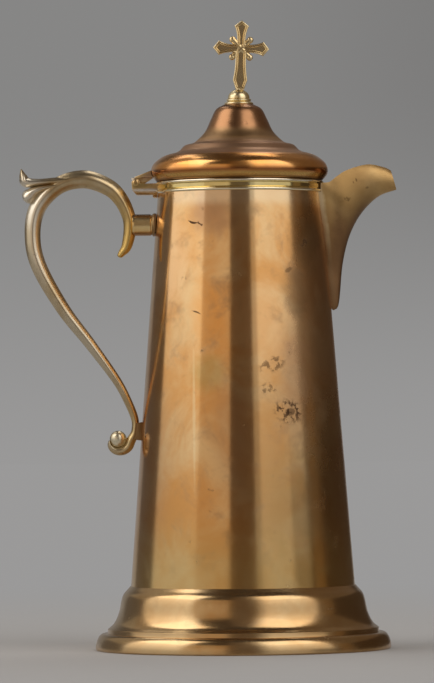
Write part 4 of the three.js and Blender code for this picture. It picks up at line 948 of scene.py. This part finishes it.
def build_strut():
    """Strut, with the ferrule and the lower pad from their nodes."""
    start, radius, neck = STRUT_X + STRUT_SINK, STRUT_RADIUS, STRUT_RADIUS - 0.35
    length = BOSS_LOW.x - start
    profile = [(0, 0), (radius, 0), (radius, 0.12 * length), (radius, 0.9 * length), (neck, 0.94 * length)]
    mesh = turned([*profile, (neck, length), (0, length)], closed=False, steps=64, axis_x=0)
    ops.transform(mesh, matrix=placed(start, 0, STRUT_Z) @ Matrix.Rotation(pi / 2, 4, "Y"), verts=mesh.verts)
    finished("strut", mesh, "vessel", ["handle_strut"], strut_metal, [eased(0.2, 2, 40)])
    boss, pad = from_node("strut_boss"), from_node("lower_lug")
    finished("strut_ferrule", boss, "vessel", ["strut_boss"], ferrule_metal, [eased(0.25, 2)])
    far = [v for v in pad.verts if v.co.x > (LUG_X + PAD_FAR) * MM]
    ops.translate(pad, vec=(PAD_REACH * MM, 0, 0), verts=far)
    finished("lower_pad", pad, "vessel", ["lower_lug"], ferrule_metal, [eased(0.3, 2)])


STRUT_SHADE_ZONES = [
    # painted shade: darker bands along the strut's top and its underside, on a bright brass
    (STRUT_Z + 4, STRUT_Z + 9, 1.5, (0.24, 0.14, 0.09), 0.85, 0),
    (STRUT_Z - 9, STRUT_Z - 4.2, 0.8, (0.3, 0.13, 0.05), 0.85, 0),
]
strut_metal = brass(
    "strut", (0.95, 0.74, 0.4), (0.86, 0.6, 0.26), (0.3, 0.2, 0.08), polish=0.22, tarnish=0.4, relief=0.02,
    zones=STRUT_SHADE_ZONES,
)
ferrule_metal = brass("ferrule", (0.38, 0.24, 0.11), (0.32, 0.19, 0.08), (0.18, 0.11, 0.05), polish=0.38, relief=0.02)

# Spout

SPOUT_PROJECTION = SPOUT_HIGH.x - AXIS_X - BODY_TOP_RADIUS
SPOUT_TIP_Z, SPOUT_ROOT_DROP, SPOUT_ROOT_PROUD, SPOUT_CROWN = MOUTH_Z - 4.2, 64.6, 2.9, 8.1
SPOUT_MOUTH_HIGH, SPOUT_MOUTH_HALF, SPOUT_ROOT_HALF, SPOUT_TAIL_HALF = 9.4, 3.4, 12.2, 2.5
SPOUT_FLARE, SPOUT_SINK = 1.5, 3.0


def spout_lines(steps):
    """Keel, rim, and half width with curl, at evenly spaced stations from the root's tail to the mouth."""
    root_z, tip_x = BODY_TOP - SPOUT_ROOT_DROP, BODY_TOP_RADIUS + SPOUT_PROJECTION
    keel_x = body_radius(root_z) + SPOUT_ROOT_PROUD
    keel = [
        (keel_x + (tip_x - keel_x) * out, root_z + (SPOUT_TIP_Z - root_z) * up)
        for out, up in [
            (-0.07, 0), (-0.012, 0.016), (0.014, 0.07), (0.032, 0.152), (0.076, 0.372),
            (0.179, 0.587), (0.337, 0.754), (0.541, 0.88), (0.745, 0.957), (1, 1),
        ]
    ]
    rim = [
        (body_radius(root_z) - SPOUT_SINK, root_z + 2),
        *((body_radius(z) - SPOUT_SINK, z) for z in (root_z + up * SPOUT_ROOT_DROP for up in (0.33, 0.66))),
        (BODY_TOP_RADIUS - SPOUT_SINK, MOUTH_Z - 4.6),
        *(
            (BODY_TOP_RADIUS + SPOUT_PROJECTION * out, MOUTH_Z + SPOUT_CROWN * up)
            for out, up in [(0.1, -0.16), (0.2, 0.22), (0.34, 0.64), (0.61, 1), (0.83, 0.8)]
        ),
        (tip_x - 0.35 * SPOUT_MOUTH_HIGH, SPOUT_TIP_Z + 0.94 * SPOUT_MOUTH_HIGH),
    ]
    root, tail = SPOUT_ROOT_HALF, SPOUT_TAIL_HALF
    wide = smooth_line([
        (0.4 * tail, 0.5), (1.15 * tail, 0.5), (0.33 * root, 0.5), (0.62 * root, 0.5), (0.93 * root, 0.5), (root, 0.52),
        (0.8 * root, 0.62), (0.58 * root, 0.74), (SPOUT_MOUTH_HALF, 0.84),
    ], steps)
    return even_line(keel, steps), even_line(rim, steps), wide


def build_spout():
    mesh = bmesh.new()
    steps, sides = 84, 60
    loops = []
    for i, (keel, rim, (half, curl)) in enumerate(zip(*spout_lines(steps))):
        flare = SPOUT_FLARE * (1 - min(max((i / steps - 0.3) / 0.15, 0), 1)) * min(1, i / 12)  # along the root only
        ring = []
        for k in range(sides + 1):
            turn = pi * curl * (2 * k / sides - 1)
            up = (1 - cos(turn)) / (1 - cos(pi * curl))
            side = half * abs(sin(turn)) + flare * max(0, (up - 0.84) / 0.16) ** 2
            place = keel + (rim - keel) * up
            side = copysign(side, turn) if turn else 0
            ring.append(mesh.verts.new(Vector((AXIS_X + place.x, side, place.y)) * MM))
        loops.append([mesh.edges.new(pair) for pair in pairwise(ring)])
    for before, after in pairwise(loops):
        ops.bridge_loops(mesh, edges=before + after)
    ops.recalc_face_normals(mesh, faces=mesh.faces)
    if sum(f.normal.z * f.calc_area() for f in mesh.faces if f.calc_center_median().z > BODY_TOP * MM) > 0:
        ops.reverse_faces(mesh, faces=mesh.faces)
    low, high = BODY_TOP - 0.05, MOUTH_Z + SPOUT_CLEARANCE
    cone = turned([
        (0, FOOT_TOP), (BODY_BOTTOM_RADIUS, FOOT_TOP), (BODY_TOP_RADIUS, low), (COLLAR_RADIUS, low),
        (COLLAR_RADIUS, high), (0, high),
    ], closed=False)
    cuts = [linked("vessel_cutter", cone), linked("lid_cutter", lid_envelope(SPOUT_CLEARANCE))]
    sheet = ("SOLIDIFY", {"thickness": SPOUT_WALL * MM, "offset": -1, "use_even_offset": True})
    modifiers = [sheet, *booleans("DIFFERENCE", *cuts)]
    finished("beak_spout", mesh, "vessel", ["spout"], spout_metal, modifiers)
    discard(*cuts)


for build in (
    build_foot, build_body, build_floor_disc, build_collar, build_lid, build_bezel, build_knop, build_cross,
    build_body_leaf, build_lid_leaf, build_rivet, build_handle, build_strut, build_spout,
):
    build()
for node in ("finial_nut", "finial_washer"):
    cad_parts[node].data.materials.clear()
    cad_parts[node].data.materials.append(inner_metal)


# Floor, backdrop and lights

BACKDROP_HIGH, BACKDROP_LOW, CEILING = (0.24, 0.238, 0.235), (0.325, 0.32, 0.318), (0.05, 0.041, 0.036)
FLOOR_PALE, FILL_GREY = (0.438, 0.424, 0.41), (0.22, 0.22, 0.22)
WHITE_LIGHT, WARM_LIGHT, DAY_LIGHT = (1, 0.97, 0.95), (1, 0.76, 0.52), (1, 0.98, 0.95)


def build_floor():
    """Pale floor that fades into the backdrop's grey away from the flagon."""
    mesh = bmesh.new()
    ops.create_circle(mesh, cap_ends=True, segments=96, radius=12)
    floor = linked("studio_floor", mesh)
    material, tree = new_tree("studio_floor")
    place = add_node(tree, "TexCoord", output="Object")
    distance = add_node(tree, "VectorMath", {0: place}, "Value", operation="LENGTH")
    paper = noise(tree, place, 90, 3)
    colour = mixed(tree, paper, FLOOR_PALE, tuple(c * 0.96 for c in FLOOR_PALE))
    ground = add_node(tree, "BsdfDiffuse", {"Color": colour})
    far = add_node(tree, "Emission", {"Color": BACKDROP_LOW})
    surface = add_node(tree, "MixShader", {0: distance.over(0.15, 1.1), 1: ground, 2: far})
    add_node(tree, "OutputMaterial", {"Surface": surface})
    floor.data.materials.append(material)


def build_world():
    """Grey backdrop for what is seen and mirrored, and an even fill for the rest."""
    world = bpy.data.worlds.new("studio")
    bpy.context.scene.world = world
    world.use_nodes = True
    tree = world.node_tree
    tree.nodes.clear()
    direction = add_node(tree, "TexCoord", output="Generated")
    side, _, rise = axes(tree, direction)
    grey = mixed(tree, rise.over(-0.02, 0.07), BACKDROP_LOW, BACKDROP_HIGH)
    grey = mixed(tree, side.over(-0.01, 0.06) * rise.over(0, 0.08) * 0.2, grey, CEILING)
    grey = mixed(tree, rise.over(0.15, 0.5), grey, CEILING)
    seen = add_node(tree, "Background", {"Color": grey})
    fill = add_node(tree, "Background", {"Color": FILL_GREY})
    camera, glossy, through = (
        add_node(tree, "LightPath", output=f"Is {ray} Ray") for ray in ("Camera", "Glossy", "Transmission")
    )
    shown = camera + glossy + through
    surface = add_node(tree, "MixShader", {0: shown, 1: fill, 2: seen})
    add_node(tree, "OutputWorld", {"Surface": surface})


def around(azimuth, distance, height):
    """A place round the vessel's axis. Azimuth 0 is towards the camera, and 90 towards the spout."""
    turn = radians(azimuth)
    return Vector((AXIS_X * MM + distance * sin(turn), -distance * cos(turn), height))


def soft_light(name, size, size_y, radiance, colour):
    """A rectangular light that looks as bright as the radiance from every side in front of it."""
    data = bpy.data.lights.new(name, "AREA")
    data.shape = "RECTANGLE"
    data.size, data.size_y = size, size_y
    data.color = colour
    data.energy = radiance * pi * size * size_y
    lamp = added(name, data)
    lamp.visible_camera = False
    return lamp


def build_panel(name, start, end, distance, low, high, radiance, colour):
    """An upright soft light that fills the azimuths from start to end, as the flagon's surface mirrors it."""
    lamp = soft_light(name, 2 * distance * tan(radians(end - start) / 2), high - low, radiance, colour)
    lamp.location = around((start + end) / 2, distance, (low + high) / 2)
    lamp.rotation_euler = (pi / 2, 0, radians((start + end) / 2))


def build_overhead(name, across, deep, height, radiance, colour):
    """A level soft light above the flagon, between two places in X and in Y."""
    lamp = soft_light(name, across[1] - across[0], deep[1] - deep[0], radiance, colour)
    lamp.location = (AXIS_X * MM + sum(across) / 2, sum(deep) / 2, height)


def build_flag(name, start, end, distance, low, high, level):
    """A dark card that only reflections see."""
    mesh = bmesh.new()
    ops.create_grid(mesh, x_segments=1, y_segments=1, size=1)
    wide = distance * tan(radians(end - start) / 2)
    turn = Matrix.Translation(around((start + end) / 2, distance, (low + high) / 2))
    turn = turn @ Matrix.Rotation(radians((start + end) / 2), 4, "Z") @ Matrix.Rotation(pi / 2, 4, "X")
    turn = turn @ Matrix.Diagonal((wide, (high - low) / 2, 1, 1))
    ops.transform(mesh, matrix=turn, verts=mesh.verts)
    card = linked(name, mesh)
    material, tree = new_tree(name)
    add_node(tree, "OutputMaterial", {"Surface": add_node(tree, "Emission", {"Color": level})})
    card.data.materials.append(material)
    card.visible_camera = card.visible_diffuse = card.visible_shadow = card.visible_transmission = False


def build_camera():
    distance, height, view_high, sensor = 2.7, 0.127, 0.3803, 24
    data = bpy.data.cameras.new("camera")
    data.sensor_fit = "VERTICAL"
    data.sensor_height = sensor
    data.lens = sensor * distance / view_high
    data.clip_end = 100
    camera = added("camera", data)
    centre_x, centre_z, roll = AXIS_X * MM - 0.0133, 0.1711, radians(0.5)
    tilt = atan2(centre_z - height, distance)
    camera.location = (centre_x, -distance, height)
    camera.rotation_euler = (Matrix.Rotation(pi / 2 + tilt, 3, "X") @ Matrix.Rotation(-roll, 3, "Z")).to_euler()
    bpy.context.scene.camera = camera


build_floor()
build_world()
# Each soft light is brighter towards its top: tiers as (low, high, share of the radiance)
TIERS = [
    (-0.1, 0.24, 0.36), (0.24, 0.3, 0.46), (0.3, 0.35, 0.58), (0.35, 0.4, 0.7), (0.4, 0.46, 0.84), (0.46, 0.55, 0.95),
    (0.55, 0.66, 1.1), (0.66, 0.8, 1.25), (0.8, 1.2, 1.6), (1.2, 3.4, 2.5),
]
CARD_EDGE, PANELS_AT = 13.4, 1.6
for low, high, share in TIERS:
    build_panel("left_softbox", -107, -50, PANELS_AT, low, high, 0.86 * share, WHITE_LIGHT)
    if high < 1.3:
        warm = 0.42 * (0.4 + 0.6 * min(share, 1))
        build_panel("left_warm_softbox", -50, -CARD_EDGE, PANELS_AT, low, high, warm, WARM_LIGHT)
    build_panel("right_softbox", 20, 54 if low < 0.3 else 74, PANELS_AT, low, high, 0.72 * share, WHITE_LIGHT)
    build_panel("right_softbox_edge", CARD_EDGE, 20, PANELS_AT, low, high, 0.36 * share, WHITE_LIGHT)
build_overhead("left_overhead", (-3.2, -1.0), (1.0, 2.8), 2.9, 2.0, DAY_LIGHT)
build_overhead("right_overhead", (0.1, 1.6), (1.0, 2.8), 2.9, 2.0, DAY_LIGHT)
build_flag("front_card", -CARD_EDGE, CARD_EDGE, 1.3, -0.1, 2.2, (0.125, 0.098, 0.08))
build_flag("right_card", 75, 162, 1.0, -0.1, 0.42, (0.055, 0.039, 0.026))
build_flag("right_streak_card", 78, 92, 0.95, -0.1, 0.42, (0.17, 0.115, 0.065))
build_flag("right_upper_card", 75, 162, 1.0, 0.42, 2.2, (0.13, 0.1, 0.075))
build_flag("left_card", -145, -107, 1.3, -0.1, 0.42, (0.12, 0.11, 0.105))
build_flag("left_upper_card", -145, -107, 1.3, 0.42, 2.2, (0.26, 0.235, 0.2))
build_camera()
bpy.context.scene.view_settings.view_transform = "Standard"
